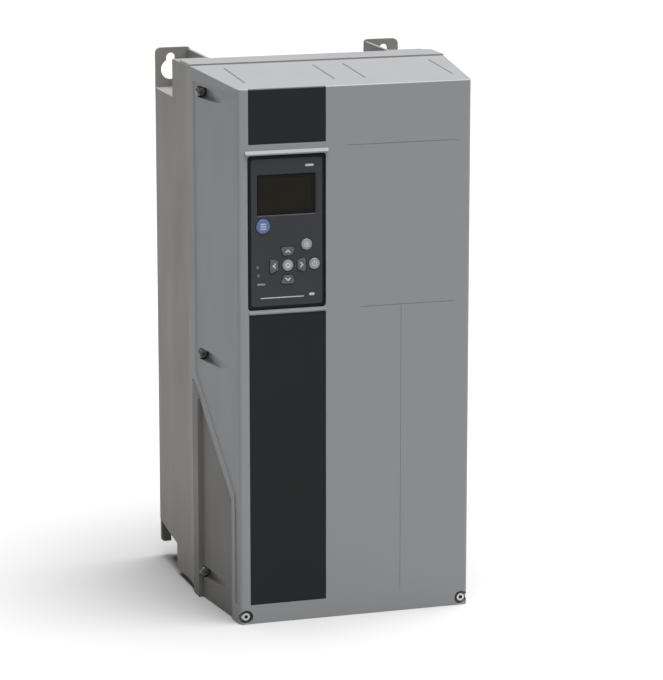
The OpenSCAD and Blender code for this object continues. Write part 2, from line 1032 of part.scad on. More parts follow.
module keypad_board() {
    color("#1f5a3a")
    front_sheet(board_d)
        translate(key_c) square([60, 128], center = true);
}

module keypad_membrane() {
    sheet_c = [-65, 336.5];
    color("#5a5c60") {
        front_sheet([board_d[1], 229.2])
            difference() {
                translate(sheet_c) square([56, 68], center = true);
                for (c = concat(lamp_c, [lamp_bar_c]))
                    translate(c) square([9, 4], center = true);
            }
        for (c = concat([menu_c, info_c, ok_c, power_c], [for (a = [0:90:270]) arrow_centre(a)]))
            rod_y(c[0], c[1], [229, 234], 2.2);
    }
}

function arrow_centre(angle) =
    ok_c + (arrow_in + arrow_out) / 2 * [-sin(angle), cos(angle)];

module indicator_lenses() {
    color("#9aa0a0") {
        for (c = lamp_c)
            rod_y(c[0], c[1], [board_d[1], face_d[1] + 0.2], 1.5);
        front_sheet([board_d[1], face_d[1] + 0.2])
            translate(lamp_bar_c) square([8, 2], center = true);
    }
}

module keypad_plug() {
    color("#111214")
    slab([plug_c[0] - 5.4, plug_c[0] + 5.4], [204, housing_d[0]], [352.4, 359.6]);
}

module round_key(centre, r) {
    rod_y(centre[0], centre[1], cap_d, r);
    rod_y(centre[0], centre[1], key_flange_d, r + 0.8);
}

module arrow_key(angle) {
    front_sheet(cap_d)
        translate(ok_c) rotate(angle) wedge_outline(0);
    front_sheet(key_flange_d)
        translate(ok_c) rotate(angle) wedge_outline(0.4);
}

module menu_button() {
    color("#4f6f9f")
    round_key(menu_c, 6.5);
}

module info_button() {
    color("#8e9396")
    round_key(info_c, 5);
}

module ok_button() {
    color("#8e9396")
    round_key(ok_c, 5);
}

module power_button() {
    color("#8e9396")
    round_key(power_c, 5);
}

module up_key() {
    color("#54585b")
    arrow_key(0);
}

module left_key() {
    color("#54585b")
    arrow_key(90);
}

module down_key() {
    color("#54585b")
    arrow_key(180);
}

module right_key() {
    color("#54585b")
    arrow_key(270);
}

back_plate();
rear_housing();
lower_frame();
air_intake();
heat_sink();
heat_sink_fins();
fan_frames();
fan_grilles();
fan_rotor_left();
fan_rotor_right();
power_modules();
power_board();
board_standoffs();
board_screws();
dc_capacitors();
dc_chokes();
filter_board();
filter_chokes();
filter_capacitors();
mains_terminals();
motor_terminals();
terminal_screws();
control_tray();
control_board();
control_standoffs();
control_terminals();
relay_terminals();
keypad_cradle();
keypad_socket();
keypad_seal();
cover_gasket();
gland_plate();
gland_gasket();
gland_screws();
gland_plugs();
clamp_rail();
cable_clamps();
frame_screws();
front_cover();
upper_inlay();
lower_inlay();
side_screws();
corner_screws();
keypad_housing();
keypad_faceplate();
display_window();
display_module();
keypad_board();
keypad_membrane();
indicator_lenses();
keypad_plug();
menu_button();
info_button();
ok_button();
power_button();
up_key();
down_key();
left_key();
right_key();
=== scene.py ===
import json
import math
import random

import bmesh
import bpy
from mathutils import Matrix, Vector


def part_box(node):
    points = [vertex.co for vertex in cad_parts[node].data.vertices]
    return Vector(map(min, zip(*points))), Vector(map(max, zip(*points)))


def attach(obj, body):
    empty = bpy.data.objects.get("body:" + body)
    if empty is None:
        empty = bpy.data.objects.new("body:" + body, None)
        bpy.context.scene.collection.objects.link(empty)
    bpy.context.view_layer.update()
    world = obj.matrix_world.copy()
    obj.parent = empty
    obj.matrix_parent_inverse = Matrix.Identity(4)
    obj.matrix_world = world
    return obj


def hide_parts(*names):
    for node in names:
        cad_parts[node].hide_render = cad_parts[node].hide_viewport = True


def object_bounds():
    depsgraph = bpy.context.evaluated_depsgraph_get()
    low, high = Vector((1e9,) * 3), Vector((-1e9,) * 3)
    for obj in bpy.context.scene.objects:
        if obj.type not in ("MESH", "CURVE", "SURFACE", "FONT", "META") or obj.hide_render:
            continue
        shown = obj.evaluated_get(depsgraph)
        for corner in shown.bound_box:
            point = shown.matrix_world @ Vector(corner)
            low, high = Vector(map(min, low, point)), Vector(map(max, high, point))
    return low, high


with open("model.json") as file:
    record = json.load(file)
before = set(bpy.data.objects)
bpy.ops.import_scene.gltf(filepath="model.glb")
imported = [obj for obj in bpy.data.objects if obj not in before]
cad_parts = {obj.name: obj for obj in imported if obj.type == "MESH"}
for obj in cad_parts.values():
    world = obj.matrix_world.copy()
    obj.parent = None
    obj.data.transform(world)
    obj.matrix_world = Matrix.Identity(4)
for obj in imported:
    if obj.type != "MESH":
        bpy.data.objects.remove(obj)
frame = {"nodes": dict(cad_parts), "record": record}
CAD_LOW, CAD_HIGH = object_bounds()
NODES = frame["nodes"]

# Sizes in millimetres; a depth is counted forward from the wall
MM = 0.001
WALL = CAD_HIGH.y
HALF_W = round(CAD_HIGH.x / MM, 1)
TOP = round(CAD_HIGH.z / MM, 1)
ACROSS = (-HALF_W - 9, HALF_W + 9)
SIDES = (-1, 1)
# The cover runs from the seam at REAR to the panel at FRONT, and leans in by DRAFT
REAR = 130.0
LEDGE_PROUD = 2.0
FRONT = round((WALL - CAD_LOW.y) / MM, 1) - LEDGE_PROUD
DRAFT = 13.0
# Its top falls from SHOULDER at the rear to BROW at the front
SHOULDER = 492.6
BROW = 485.7
# Vertices closer than this are one, in metres
WELD_GAP = 2e-6


def side_x(depth):
    return HALF_W - DRAFT * (depth - REAR) / (FRONT - REAR)


def place(x, depth, z):
    return Vector((x * MM, WALL - depth * MM, z * MM))


def spans(node):
    """A CAD node's extent across, in depth and in height, in millimetres."""
    low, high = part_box(node)
    depth = (WALL - high.y, WALL - low.y)
    return [tuple(round(v / MM, 1) for v in pair) for pair in ((low.x, high.x), depth, (low.z, high.z))]


def middle(node):
    x, _, z = spans(node)
    return (round(sum(x) / 2, 1), round(sum(z) / 2, 1))


def face_size(node):
    x, _, z = spans(node)
    return (round(x[1] - x[0], 1), round(z[1] - z[0], 1))


LAYOUTS = {
    "front": lambda u, v, w: place(u, w, v),
    "side": lambda u, v, w: place(w, u, v),
    "plan": lambda u, v, w: place(u, v, w),
}


# ---- Mesh tools ----


def rounded(points, radii, steps=5):
    """A polygon whose corners are arcs of the given radius or radii."""
    made = []
    for i, point in enumerate(points):
        r = radii[i] if isinstance(radii, (list, tuple)) else radii
        p = Vector(point)
        if r <= 0:
            made.append(tuple(p))
            continue
        a = (Vector(points[i - 1]) - p).normalized()
        b = (Vector(points[(i + 1) % len(points)]) - p).normalized()
        half = a.angle(b) / 2
        centre = p + (a + b).normalized() * (r / math.sin(half))
        s = p + a * (r / math.tan(half)) - centre
        e = p + b * (r / math.tan(half)) - centre
        start = math.atan2(s.y, s.x)
        turn = (math.atan2(e.y, e.x) - start + math.pi) % (2 * math.pi) - math.pi
        for k in range(steps + 1):
            angle = start + turn * k / steps
            made.append((centre.x + r * math.cos(angle), centre.y + r * math.sin(angle)))
    return made


def rect(u, v, r=0.0, steps=5):
    corners = [(u[0], v[0]), (u[1], v[0]), (u[1], v[1]), (u[0], v[1])]
    return rounded(corners, r, steps) if r else corners


def centred(centre, size, r=0.0, steps=5):
    return rect(
        (centre[0] - size[0] / 2, centre[0] + size[0] / 2),
        (centre[1] - size[1] / 2, centre[1] + size[1] / 2),
        r,
        steps,
    )


def circle(centre, r, count=32, start=0.0):
    return [
        (
            centre[0] + r * math.cos(start + 2 * math.pi * i / count),
            centre[1] + r * math.sin(start + 2 * math.pi * i / count),
        )
        for i in range(count)
    ]


def loft(rings, layout, closed_ends=True):
    """Rings of equal count, each (outline, w), joined by quads."""
    bm = bmesh.new()
    make = LAYOUTS[layout]
    rows = [[bm.verts.new(make(u, v, w)) for u, v in outline] for outline, w in rings]
    count = len(rows[0])
    for low, high in zip(rows, rows[1:]):
        for i in range(count):
            j = (i + 1) % count
            bm.faces.new((low[i], low[j], high[j], high[i]))
    if closed_ends:
        bm.faces.new(rows[0])
        bm.faces.new(rows[-1])
    bmesh.ops.recalc_face_normals(bm, faces=bm.faces)
    return bm


def prism(outline, span, layout):
    return loft([(outline, span[0]), (outline, span[1])], layout)


def slab(x, depth, z):
    return prism(rect(x, z), depth, "front")


def turned(centre, profile, layout, count=32):
    """A solid of revolution; profile is a list of (radius, w) along the axis."""
    return loft([(circle(centre, max(r, 0.001), count), w) for r, w in profile], layout)


def swept(centre, section, layout, count=40, start=0.0, turn=360.0):
    """Carries a closed section of (radius, w) points round an axis."""
    make = LAYOUTS[layout]
    bm = bmesh.new()
    whole = turn > 359.9
    rows = []
    for i in range(count if whole else count + 1):
        a = math.radians(start + turn * i / count)
        ring = [make(centre[0] + r * math.cos(a), centre[1] + r * math.sin(a), w) for r, w in section]
        rows.append([bm.verts.new(point) for point in ring])
    for i in range(count):
        low, high = rows[i], rows[(i + 1) % len(rows)]
        for j in range(len(section)):
            k = (j + 1) % len(section)
            bm.faces.new((low[j], low[k], high[k], high[j]))
    if not whole:
        bm.faces.new(rows[0])
        bm.faces.new(rows[-1])
    bmesh.ops.recalc_face_normals(bm, faces=bm.faces)
    return bm


def wire(start, end, r, count=10):
    """A round bar between two points, each (x, depth, z)."""
    a, b = place(*start), place(*end)
    turn = (b - a).to_track_quat("Z", "Y")
    bm = bmesh.new()
    rows = [
        [bm.verts.new(p + turn @ Vector((u * MM, v * MM, 0.0))) for u, v in circle((0.0, 0.0), r, count)]
        for p in (a, b)
    ]
    for i in range(count):
        j = (i + 1) % count
        bm.faces.new((rows[0][i], rows[0][j], rows[1][j], rows[1][i]))
    bm.faces.new(rows[0])
    bm.faces.new(rows[1])
    bmesh.ops.recalc_face_normals(bm, faces=bm.faces)
    return bm


def join(parts):
    """Joins meshes; one given as (mesh, index) takes that material."""
    out = bmesh.new()
    for part in parts:
        bm, index = part if isinstance(part, tuple) else (part, None)
        if index is not None:
            for f in bm.faces:
                f.material_index = index
        mesh = bpy.data.meshes.new("part")
        bm.to_mesh(mesh)
        bm.free()
        out.from_mesh(mesh)
        bpy.data.meshes.remove(mesh)
    return out


def mirrored(bm):
    """A copy of a mesh, mirrored from one side of the drive to the other."""
    copy = bm.copy()
    for v in copy.verts:
        v.co.x = -v.co.x
    bmesh.ops.reverse_faces(copy, faces=copy.faces)
    return copy


def temporary(bm):
    mesh = bpy.data.meshes.new("temporary")
    bm.to_mesh(mesh)
    bm.free()
    obj = bpy.data.objects.new("temporary", mesh)
    bpy.context.scene.collection.objects.link(obj)
    return obj


def combine(base, steps):
    """Applies boolean steps, each (mode, mesh), to a mesh."""
    target = temporary(base)
    others = []
    for mode, bm in steps:
        other = temporary(bm)
        others.append(other)
        modifier = target.modifiers.new("step", "BOOLEAN")
        modifier.operation = mode
        modifier.solver = "MANIFOLD"
        modifier.object = other
    bpy.context.view_layer.update()
    out = bmesh.new()
    out.from_object(target, bpy.context.evaluated_depsgraph_get())
    for obj in [target, *others]:
        mesh = obj.data
        bpy.data.objects.remove(obj)
        bpy.data.meshes.remove(mesh)
    bmesh.ops.remove_doubles(out, verts=out.verts, dist=WELD_GAP)
    bmesh.ops.dissolve_limit(
        out, angle_limit=0.002, verts=out.verts, edges=out.edges, delimit={"MATERIAL"}
    )
    return out


def cut(base, cutters):
    return combine(base, [("DIFFERENCE", c) for c in cutters])


def fuse(base, parts):
    return combine(base, [("UNION", p) for p in parts])


def soften(bm, width, segments=2, choose=None, sharper_than=28):
    """Rounds the sharp edges that choose accepts."""
    limit = math.radians(sharper_than)
    edges = [
        e
        for e in bm.edges
        if len(e.link_faces) == 2
        and e.calc_face_angle(0) > limit
        and (choose is None or choose(e))
    ]
    if edges:
        bmesh.ops.bevel(
            bm,
            geom=edges,
            offset=width * MM,
            offset_type="OFFSET",
            segments=segments,
            profile=0.5,
            affect="EDGES",
            clamp_overlap=True,
        )
    return bm


def piece(bm, name, body, finish, nodes=(), materials=(), angle=38):
    """Makes a mesh a part of the drive; finish is its material if no others are given."""
    mesh = bpy.data.meshes.new(name)
    bm.to_mesh(mesh)
    bm.free()
    mesh.shade_smooth()
    mesh.set_sharp_from_angle(angle=math.radians(angle))
    obj = bpy.data.objects.new(name, mesh)
    bpy.context.scene.collection.objects.link(obj)
    for key in materials or [finish]:
        mesh.materials.append(M[key])
    normals = obj.modifiers.new("normals", "WEIGHTED_NORMAL")
    normals.keep_sharp = True
    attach(obj, body)
    if nodes:
        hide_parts(*nodes)
    return obj


# ---- Materials ----


def srgb(r, g, b):
    def lin(c):
        c /= 255
        return c / 12.92 if c <= 0.04045 else ((c + 0.055) / 1.055) ** 2.4

    return (lin(r), lin(g), lin(b))


def shade(colour, factor):
    return tuple(min(1.0, c * factor) for c in colour) + (1.0,)


class Graph:
    """Builds one material's nodes."""

    def __init__(self, name):
        self.material = bpy.data.materials.new(name)
        self.material.use_nodes = True
        self.tree = self.material.node_tree
        self.shader = self.tree.nodes["Principled BSDF"]
        self.coords = self.tree.nodes.new("ShaderNodeTexCoord").outputs["Object"]

    def link(self, a, b):
        self.tree.links.new(a, b)

    def node(self, kind, **settings):
        n = self.tree.nodes.new(kind)
        for key, value in settings.items():
            setattr(n, key, value)
        return n

    def noise(self, scale, detail=3.0, rough=0.55, stretch=None):
        n = self.node("ShaderNodeTexNoise")
        n.inputs["Scale"].default_value = scale
        n.inputs["Detail"].default_value = detail
        n.inputs["Roughness"].default_value = rough
        source = self.coords
        if stretch:
            m = self.node("ShaderNodeMapping")
            m.inputs["Scale"].default_value = stretch
            self.link(source, m.inputs["Vector"])
            source = m.outputs["Vector"]
        self.link(source, n.inputs["Vector"])
        return n.outputs["Fac"]

    def ramp(self, value, low, high, to_low=0.0, to_high=1.0):
        n = self.node("ShaderNodeMapRange")
        for key, v in zip(("From Min", "From Max", "To Min", "To Max"), (low, high, to_low, to_high)):
            n.inputs[key].default_value = v
        self.link(value, n.inputs["Value"])
        return n.outputs["Result"]

    def maths(self, operation, a, b):
        n = self.node("ShaderNodeMath", operation=operation)
        for socket, value in zip(n.inputs, (a, b)):
            if isinstance(value, (int, float)):
                socket.default_value = value
            else:
                self.link(value, socket)
        return n.outputs[0]

    def mix(self, factor, a, b):
        n = self.node("ShaderNodeMix", data_type="RGBA")
        self.link(factor, n.inputs["Factor"])
        for socket, value in ((n.inputs[6], a), (n.inputs[7], b)):
            if isinstance(value, tuple):
                socket.default_value = value
            else:
                self.link(value, socket)
        return n.outputs[2]

    def edges(self, radius, low=0.985, high=0.86):
        """0 on flat faces, rising to 1 along edges."""
        bevel = self.node("ShaderNodeBevel", samples=4)
        bevel.inputs["Radius"].default_value = radius * MM
        geometry = self.node("ShaderNodeNewGeometry")
        dot = self.node("ShaderNodeVectorMath", operation="DOT_PRODUCT")
        self.link(bevel.outputs["Normal"], dot.inputs[0])
        self.link(geometry.outputs["True Normal"], dot.inputs[1])
        return self.ramp(dot.outputs["Value"], low, high)

    def bump(self, height, strength, distance):
        n = self.node("ShaderNodeBump")
        n.inputs["Strength"].default_value = strength
        n.inputs["Distance"].default_value = distance * MM
        self.link(height, n.inputs["Height"])
        self.link(n.outputs["Normal"], self.shader.inputs["Normal"])


def surface(
    name,
    tint,
    rough,
    metal=0.0,
    mottle=0.04,
    mottle_scale=8.0,
    grain=0.05,
    grain_scale=900.0,
    bump=0.35,
    bump_depth=0.05,
    wear=0.0,
    wear_radius=0.9,
    rough_spread=0.06,
    specular=0.5,
    coat=0.0,
    stretch=None,
):
    """A moulded, painted or metal surface with uneven colour, grain and worn edges."""
    g = Graph(name)
    s = g.shader
    s.inputs["Metallic"].default_value = metal
    s.inputs["Specular IOR Level"].default_value = specular
    s.inputs["Coat Weight"].default_value = coat
    s.inputs["Coat Roughness"].default_value = 0.12
    broad = g.ramp(g.noise(mottle_scale, 4.0), 0.3, 0.7)
    colour = g.mix(broad, shade(tint, 1 - mottle), shade(tint, 1 + mottle))
    fine = g.noise(grain_scale, 3.0, 0.6, stretch)
    speck = g.ramp(fine, 0.3, 0.7, 0.0, grain)
    colour = g.mix(speck, colour, shade(tint, 1.6))
    if wear:
        rub = g.ramp(g.noise(60.0, 5.0), 0.38, 0.62)
        amount = g.maths("MULTIPLY", g.maths("MULTIPLY", g.edges(wear_radius), rub), wear)
        colour = g.mix(amount, colour, shade(tint, 2.2))
    g.link(colour, s.inputs["Base Color"])
    smear = g.noise(35.0, 4.0, 0.6, (1.0, 1.0, 0.35))
    g.link(g.ramp(smear, 0.3, 0.7, rough - rough_spread, rough + rough_spread), s.inputs["Roughness"])
    g.bump(fine, bump, bump_depth)
    return g.material


WINDOW = {"mottle": 0.1, "mottle_scale": 40, "bump": 0.02, "specular": 0.1}
CAP = {"mottle": 0.1, "mottle_scale": 160, "wear": 0.1, "coat": 0.2}

# Each finish: its sRGB tint, its roughness and what else differs from a plain moulding.
# A finish that the record has a slot for has the slot's name.
FINISHES = {
    "housing_paint": ((115, 113, 109), 0.55, {"wear": 0.12, "mottle": 0.035}),
    "frame_paint": ((98, 97, 93), 0.6, {"wear": 0.1}),
    "cover_plastic": (
        (119, 120, 122),
        0.5,
        {"mottle": 0.012, "grain": 0.045, "grain_scale": 1500, "wear": 0.08, "rough_spread": 0.03},
    ),
    "strip_plastic": (
        (30, 31, 32),
        0.55,
        {"mottle": 0.06, "grain": 0.04, "grain_scale": 2400, "bump": 0.15, "specular": 0.1},
    ),
    "black_plastic": ((38, 38, 40), 0.5, {"mottle": 0.08, "wear": 0.08}),
    "tray_plastic": ((74, 76, 79), 0.55, {"mottle": 0.05, "wear": 0.1}),
    "aluminium_bare": (
        (200, 202, 204),
        0.38,
        {"metal": 0.9, "stretch": (1.0, 1.0, 0.03), "grain": 0.2, "bump": 0.25},
    ),
    "sheet_zinc": ((190, 192, 194), 0.36, {"metal": 0.85, "mottle": 0.1, "mottle_scale": 120, "grain": 0.1}),
    "screw_steel": ((196, 196, 194), 0.3, {"metal": 0.9, "mottle": 0.08, "mottle_scale": 300, "wear": 0.2}),
    "dark_steel": ((120, 121, 120), 0.36, {"metal": 0.75, "mottle": 0.1, "mottle_scale": 260, "wear": 0.2}),
    "socket_shadow": ((88, 88, 88), 0.6, {"metal": 0.3, "mottle": 0.2, "mottle_scale": 300}),
    "brass": ((200, 170, 100), 0.3, {"metal": 0.9, "mottle": 0.08, "mottle_scale": 200}),
    "board_laminate": ((24, 92, 58), 0.32, {"mottle": 0.12, "mottle_scale": 180, "coat": 0.2}),
    "module_plastic": ((56, 60, 66), 0.5, {"mottle": 0.08}),
    "terminal_green": ((60, 130, 84), 0.45, {"mottle": 0.06}),
    "can_sleeve": ((40, 44, 54), 0.3, {"mottle": 0.08}),
    "choke_core": ((132, 88, 54), 0.4, {"mottle": 0.2, "mottle_scale": 60}),
    "film_capacitor": ((205, 196, 172), 0.5, {"mottle": 0.05}),
    "seal_rubber": ((30, 30, 31), 0.8, {"grain": 0.15, "grain_scale": 1500, "bump": 0.6}),
    # keypad_shell: black plastic, made darker still with painted shade for the shadowed gap round the keypad's
    # face and under the ledge above it
    "keypad_shell": ((14, 14, 16), 0.42, {"mottle": 0.08, "wear": 0.06, "specular": 0.15}),
    "keypad_face": (
        (46, 47, 50),
        0.5,
        {"grain_scale": 3000, "bump": 0.2, "bump_depth": 0.02, "specular": 0.2},
    ),
    "screen_glass": ((22, 20, 13), 0.2, WINDOW),
    "screen_border": ((14, 14, 15), 0.2, WINDOW),
    "screen_module": ((84, 90, 70), 0.4, {}),
    "membrane_rubber": ((96, 98, 102), 0.7, {}),
    "lens_plastic": ((86, 88, 87), 0.3, {"mottle": 0.1, "mottle_scale": 500}),
    "blue_key": ((66, 86, 136), 0.3, CAP),
    "round_key": ((118, 121, 123), 0.32, CAP),
    "arrow_key": ((62, 64, 67), 0.34, CAP),
    "printed_mark": ((164, 166, 167), 0.5, {"mottle": 0.05, "mottle_scale": 200}),
}
M = {name: surface(name, srgb(*tint), rough, **more) for name, (tint, rough, more) in FINISHES.items()}

# Every CAD node takes its slot's finish, and a small round on its edges
EDGE_WIDTHS = {"heat_sink": 0.3, "cover_gasket": 0.2, "terminal_screws": 0.2}
for entry in frame["record"]["subparts"]:
    node = NODES[entry["node"]]
    finish = M[entry["material_slot"]]
    if node.material_slots:
        for s in node.material_slots:
            s.material = finish
    else:
        node.data.materials.append(finish)
    weld = node.modifiers.new("weld", "WELD")
    weld.merge_threshold = WELD_GAP
    rim = node.modifiers.new("rim", "BEVEL")
    rim.width = EDGE_WIDTHS.get(entry["node"], 0.4) * MM
    rim.segments = 2
    rim.limit_method = "ANGLE"
    rim.angle_limit = math.radians(35)
    rim.use_clamp_overlap = True
    node.modifiers.new("normals", "WEIGHTED_NORMAL").keep_sharp = True


# ---- Front cover ----

WALL_T = 2.5
DIAG = ((133.0, 204.0), (222.0, 112.0))
STRIP_X = (-98.6, -27.4)
STRIP_LOW = (17.4, 284.4)
STRIP_HIGH = (436.6, 484.9)
LEDGE_LOW = (285.2, 288.2)
LEDGE_HIGH = (427.0, 431.2)
LIP_REAR, LIP_LOW = 94.0, 491.4
# The places of the side screws, the corner screws and the lower frame's screws, as (x, z)
SCREW_X, SCREW_Z = 116.0, (472.0, 231.5)
SIDE_SCREWS = [(side * SCREW_X, z) for side in SIDES for z in SCREW_Z]
CORNER_SCREWS = [(side * 102.5, 6.6) for side in SIDES]
FRAME_SCREWS = [(side * SCREW_X, 25.0) for side in SIDES]
# Screws' scoops and holes, and the depths at which the heads sit
SCOOP_R, CORNER_SCOOP_R, HOLE_R = 5.5, 6.3, 2.4
SIDE_SEAT, CORNER_SEAT = 146.0, 236.0
KEYPAD, KEYPAD_SIZE = middle("keypad_housing"), face_size("keypad_housing")
# Radii of the cover's upright edges, its brow and the rim round its sloping top
PLAN_R, BROW_R, RIM_R = 3.2, 1.3, 2.6
# Depth of a side's field and the width of the rim round it
FIELD_DEEP, FIELD_RIM = 1.0, 7.5
GROOVE_W, GROOVE_DEEP = 0.6, 0.3


SLIT_X = (-93.5, -10.5, 18.0, 100.5)
SLIT_D = (148.0, 214.0)


def slope_z(depth):
    """Height of the cover's sloping top."""
    return SHOULDER - (SHOULDER - BROW) * (depth - REAR - 1) / (FRONT - REAR - 1)


def drafted_plan(inset, depth, r):
    points = [
        (-side_x(depth[0]) + inset, depth[0]),
        (side_x(depth[0]) - inset, depth[0]),
        (side_x(depth[1]) - inset, depth[1]),
        (-side_x(depth[1]) + inset, depth[1]),
    ]
    return rounded(points, [0, 0, r, r], 6)


def cover_body():
    outer = prism(drafted_plan(0.0, (REAR, FRONT), PLAN_R), (0.0, TOP), "plan")
    back, rim = REAR - 1, REAR + 1
    profile = [(back, -1), (back, TOP + 1), (rim, TOP + 1), (rim, SHOULDER), (FRONT, BROW), (FRONT, -1)]
    profile = rounded(profile, [0, 0, 0, 0.8, BROW_R, 0], 6)
    form = combine(outer, [("INTERSECT", prism(profile, ACROSS, "side"))])

    def beside_top(e):
        """Whether an edge runs forward along the side of the sloping top."""
        heights = [v.co.z for v in e.verts]
        run = abs(e.verts[0].co.y - e.verts[1].co.y)
        near_side = all(abs(v.co.x) > (HALF_W - DRAFT - 4) * MM for v in e.verts)
        on_top = min(heights) > (BROW - 4) * MM and max(heights) < (SHOULDER + 0.5) * MM
        return near_side and run > 20 * MM and on_top

    form = soften(form, RIM_R, 4, beside_top)
    inside, ceiling = FRONT - WALL_T, SHOULDER - WALL_T
    hollow_plan = prism(drafted_plan(WALL_T, (back, inside), 2.0), (WALL_T, 490.0), "plan")
    hollow = [(back, WALL_T), (back, ceiling), (rim, ceiling), (inside, BROW - WALL_T), (inside, WALL_T)]
    return cut(form, [combine(hollow_plan, [("INTERSECT", prism(hollow, ACROSS, "side"))])])


def side_field(side):
    """The field inside the raised rim of one side of the cover."""
    rear, near, ramp = REAR + 8.0, FRONT - 5.5, 1.4
    past = side * ACROSS[1]
    plan = [
        (side * (side_x(rear + ramp) - FIELD_DEEP), rear + ramp),
        (side * (side_x(near) - FIELD_DEEP), near),
        (past, near),
        (past, rear),
        (side * side_x(rear), rear),
    ]
    (high_d, high_z), (low_d, low_z) = DIAG
    slant = math.hypot(high_z - low_z, low_d - high_d)
    forward, up = (high_z - low_z) / slant, (low_d - high_d) / slant
    outline = [
        (rear, 480.0),
        (rear, high_z + FIELD_RIM * up + 1.0),
        (low_d + FIELD_RIM * forward, low_z + FIELD_RIM * up),
        (low_d + FIELD_RIM, low_z - 6.0),
        (low_d + FIELD_RIM, 17.0),
        (near + 1, 17.0),
        (near + 1, 480.6),
    ]
    span = tuple(sorted((side * 100.0, past)))
    sides = prism(rounded(outline, 1.2, 3), span, "side")
    return combine(prism(plan, (0.0, TOP), "plan"), [("INTERSECT", sides)])


def front_groove(x, z):
    """A faint mould line in the front panel."""
    return slab(x, (FRONT - GROOVE_DEEP, FRONT + 1), z)


def keypad_outline(margin, r):
    size = (KEYPAD_SIZE[0] + 2 * margin, KEYPAD_SIZE[1] + 2 * margin)
    return centred(KEYPAD, size, r, 8)


def ledge(z, proud, x, radii):
    """A lip on the front panel, over or under the keypad, with a slanting top."""
    root, tip, bend = FRONT - 1.5, FRONT + proud, z[0] + 0.35 * (z[1] - z[0])
    outline = [(root, z[0]), (tip, z[0]), (tip, bend), (FRONT - 0.1, z[1]), (root, z[1])]
    return prism(rounded(outline, radii, 4), x, "side")


def rib_frame():
    """The rib inside the cover that presses on the gasket."""
    outer = slab((-120.0, 120.0), (REAR + 3.4, REAR + 6.0), (DIAG[0][1] + 18.0, 488.0))
    return cut(outer, [slab((-112.8, 112.8), (REAR + 2.0, REAR + 7.0), (200.0, 480.0))])


def screw_posts():
    """The posts that the screws pass through, and the rib, trimmed to the cover's shape."""
    posts = [turned(c, [(8.0, REAR + 3.4), (8.0, FRONT - 2)], "front", 40) for c in SIDE_SCREWS]
    posts += [turned(c, [(7.5, 224.8), (7.5, FRONT - 1)], "front", 40) for c in CORNER_SCREWS]
    posts.append(rib_frame())
    whole = combine(posts[0], [("UNION", p) for p in posts[1:]])
    limits = prism(drafted_plan(0.3, (90.0, FRONT), PLAN_R), (0.2, TOP + 1), "plan")
    return combine(whole, [("INTERSECT", limits)])


def slit(x):
    """A shallow groove that runs forward in the sloping top."""
    rings = []
    for d in SLIT_D:
        z = slope_z(d)
        rings.append(([(x - 1.4, z + 0.5), (x + 1.4, z + 0.5), (x, z - 1.3)], d))
    return loft(rings, "front")


def screw_holes(places, scoop_r, seat, rear):
    """An open scoop in front of each screw's head, and a hole for its shank."""
    scoops = [turned(c, [(scoop_r, seat), (scoop_r, FRONT + 1)], "front", 40) for c in places]
    holes = [turned(c, [(HOLE_R, rear), (HOLE_R, seat + 1)], "front", 24) for c in places]
    return scoops + holes


def build_cover():
    brim = [(-HALF_W, LIP_REAR), (-HALF_W, REAR + 1), (HALF_W, REAR + 1), (HALF_W, LIP_REAR)]
    lip = prism(rounded(brim, [4, 0, 0, 4]), (LIP_LOW, TOP), "plan")
    cover = fuse(cover_body(), [lip, screw_posts()])
    outside = (FRONT - 1, FRONT + 1)
    cutters = [
        prism([(REAR - 1, DIAG[0][1]), *DIAG, (DIAG[1][0], -1), (REAR - 1, -1)], (-122.0, 122.0), "side"),
        slab((-106, 106), (221, 224.5), (-1, 2.6)),
        prism(keypad_outline(0.6, PLAN_R), (FRONT - 8, FRONT + 3), "front"),
        slab(STRIP_X, outside, STRIP_LOW),
        slab(STRIP_X, outside, (STRIP_HIGH[0], 488.0)),
        *[side_field(side) for side in SIDES],
        *[slit(x) for x in SLIT_X],
        *screw_holes(SIDE_SCREWS, SCOOP_R, SIDE_SEAT, REAR - 1),
        *screw_holes(CORNER_SCREWS, CORNER_SCOOP_R, CORNER_SEAT, 223.0),
        front_groove((-7.6, 96.0), (432.2, 432.2 + GROOVE_W)),
        front_groove((4.0, 94.0), (285.7, 285.7 + GROOVE_W)),
        front_groove((42.7, 42.7 + GROOVE_W), (18.0, 284.0)),
    ]
    ledges = [
        ledge(LEDGE_HIGH, LEDGE_PROUD, (STRIP_X[0] - 3.0, STRIP_X[1] + 2.0), [0, 0.7, 0.7, 0.5, 0]),
        ledge(LEDGE_LOW, 0.7, STRIP_X, [0, 0.2, 0.3, 0.2, 0]),
    ]
    cover = soften(fuse(cut(cover, cutters), ledges), 0.45, 2, lambda e: e.calc_length() > 0.6 * MM)
    step = slab((-HALF_W - 1, HALF_W + 1), (REAR + 0.4, REAR + 3), (SHOULDER - 0.1, TOP + 1))
    return cut(cover, [step])


piece(build_cover(), "cover_shell", "cover", "cover_plastic", ["front_cover"])


# ---- Inlays ----


def inlay(z):
    depth = (FRONT - 1.0, FRONT - 0.05)
    body = slab((STRIP_X[0] + 0.2, STRIP_X[1] - 0.2), depth, (z[0] + 0.2, z[1] - 0.1))
    front = WALL - depth[1] * MM
    return soften(body, 0.35, 3, lambda e: min(abs(v.co.y - front) for v in e.verts) < WELD_GAP / 2)


piece(inlay(STRIP_HIGH), "upper_strip", "cover", "strip_plastic", ["upper_inlay"])
piece(inlay(STRIP_LOW), "lower_strip", "cover", "strip_plastic", ["lower_inlay"])


# ---- Screws ----


def threaded(r, span, pitch=0.8):
    """Profile of a threaded shank, from one end to the other."""
    turns = int((span[1] - span[0]) / pitch)
    profile = [(r - 0.4, span[0])]
    for i in range(turns):
        start = span[0] + i * pitch
        profile += [(r - 0.3, start + 0.05), (r, start + 0.3 * pitch), (r, start + 0.5 * pitch)]
    return profile + [(r - 0.1, span[1])]


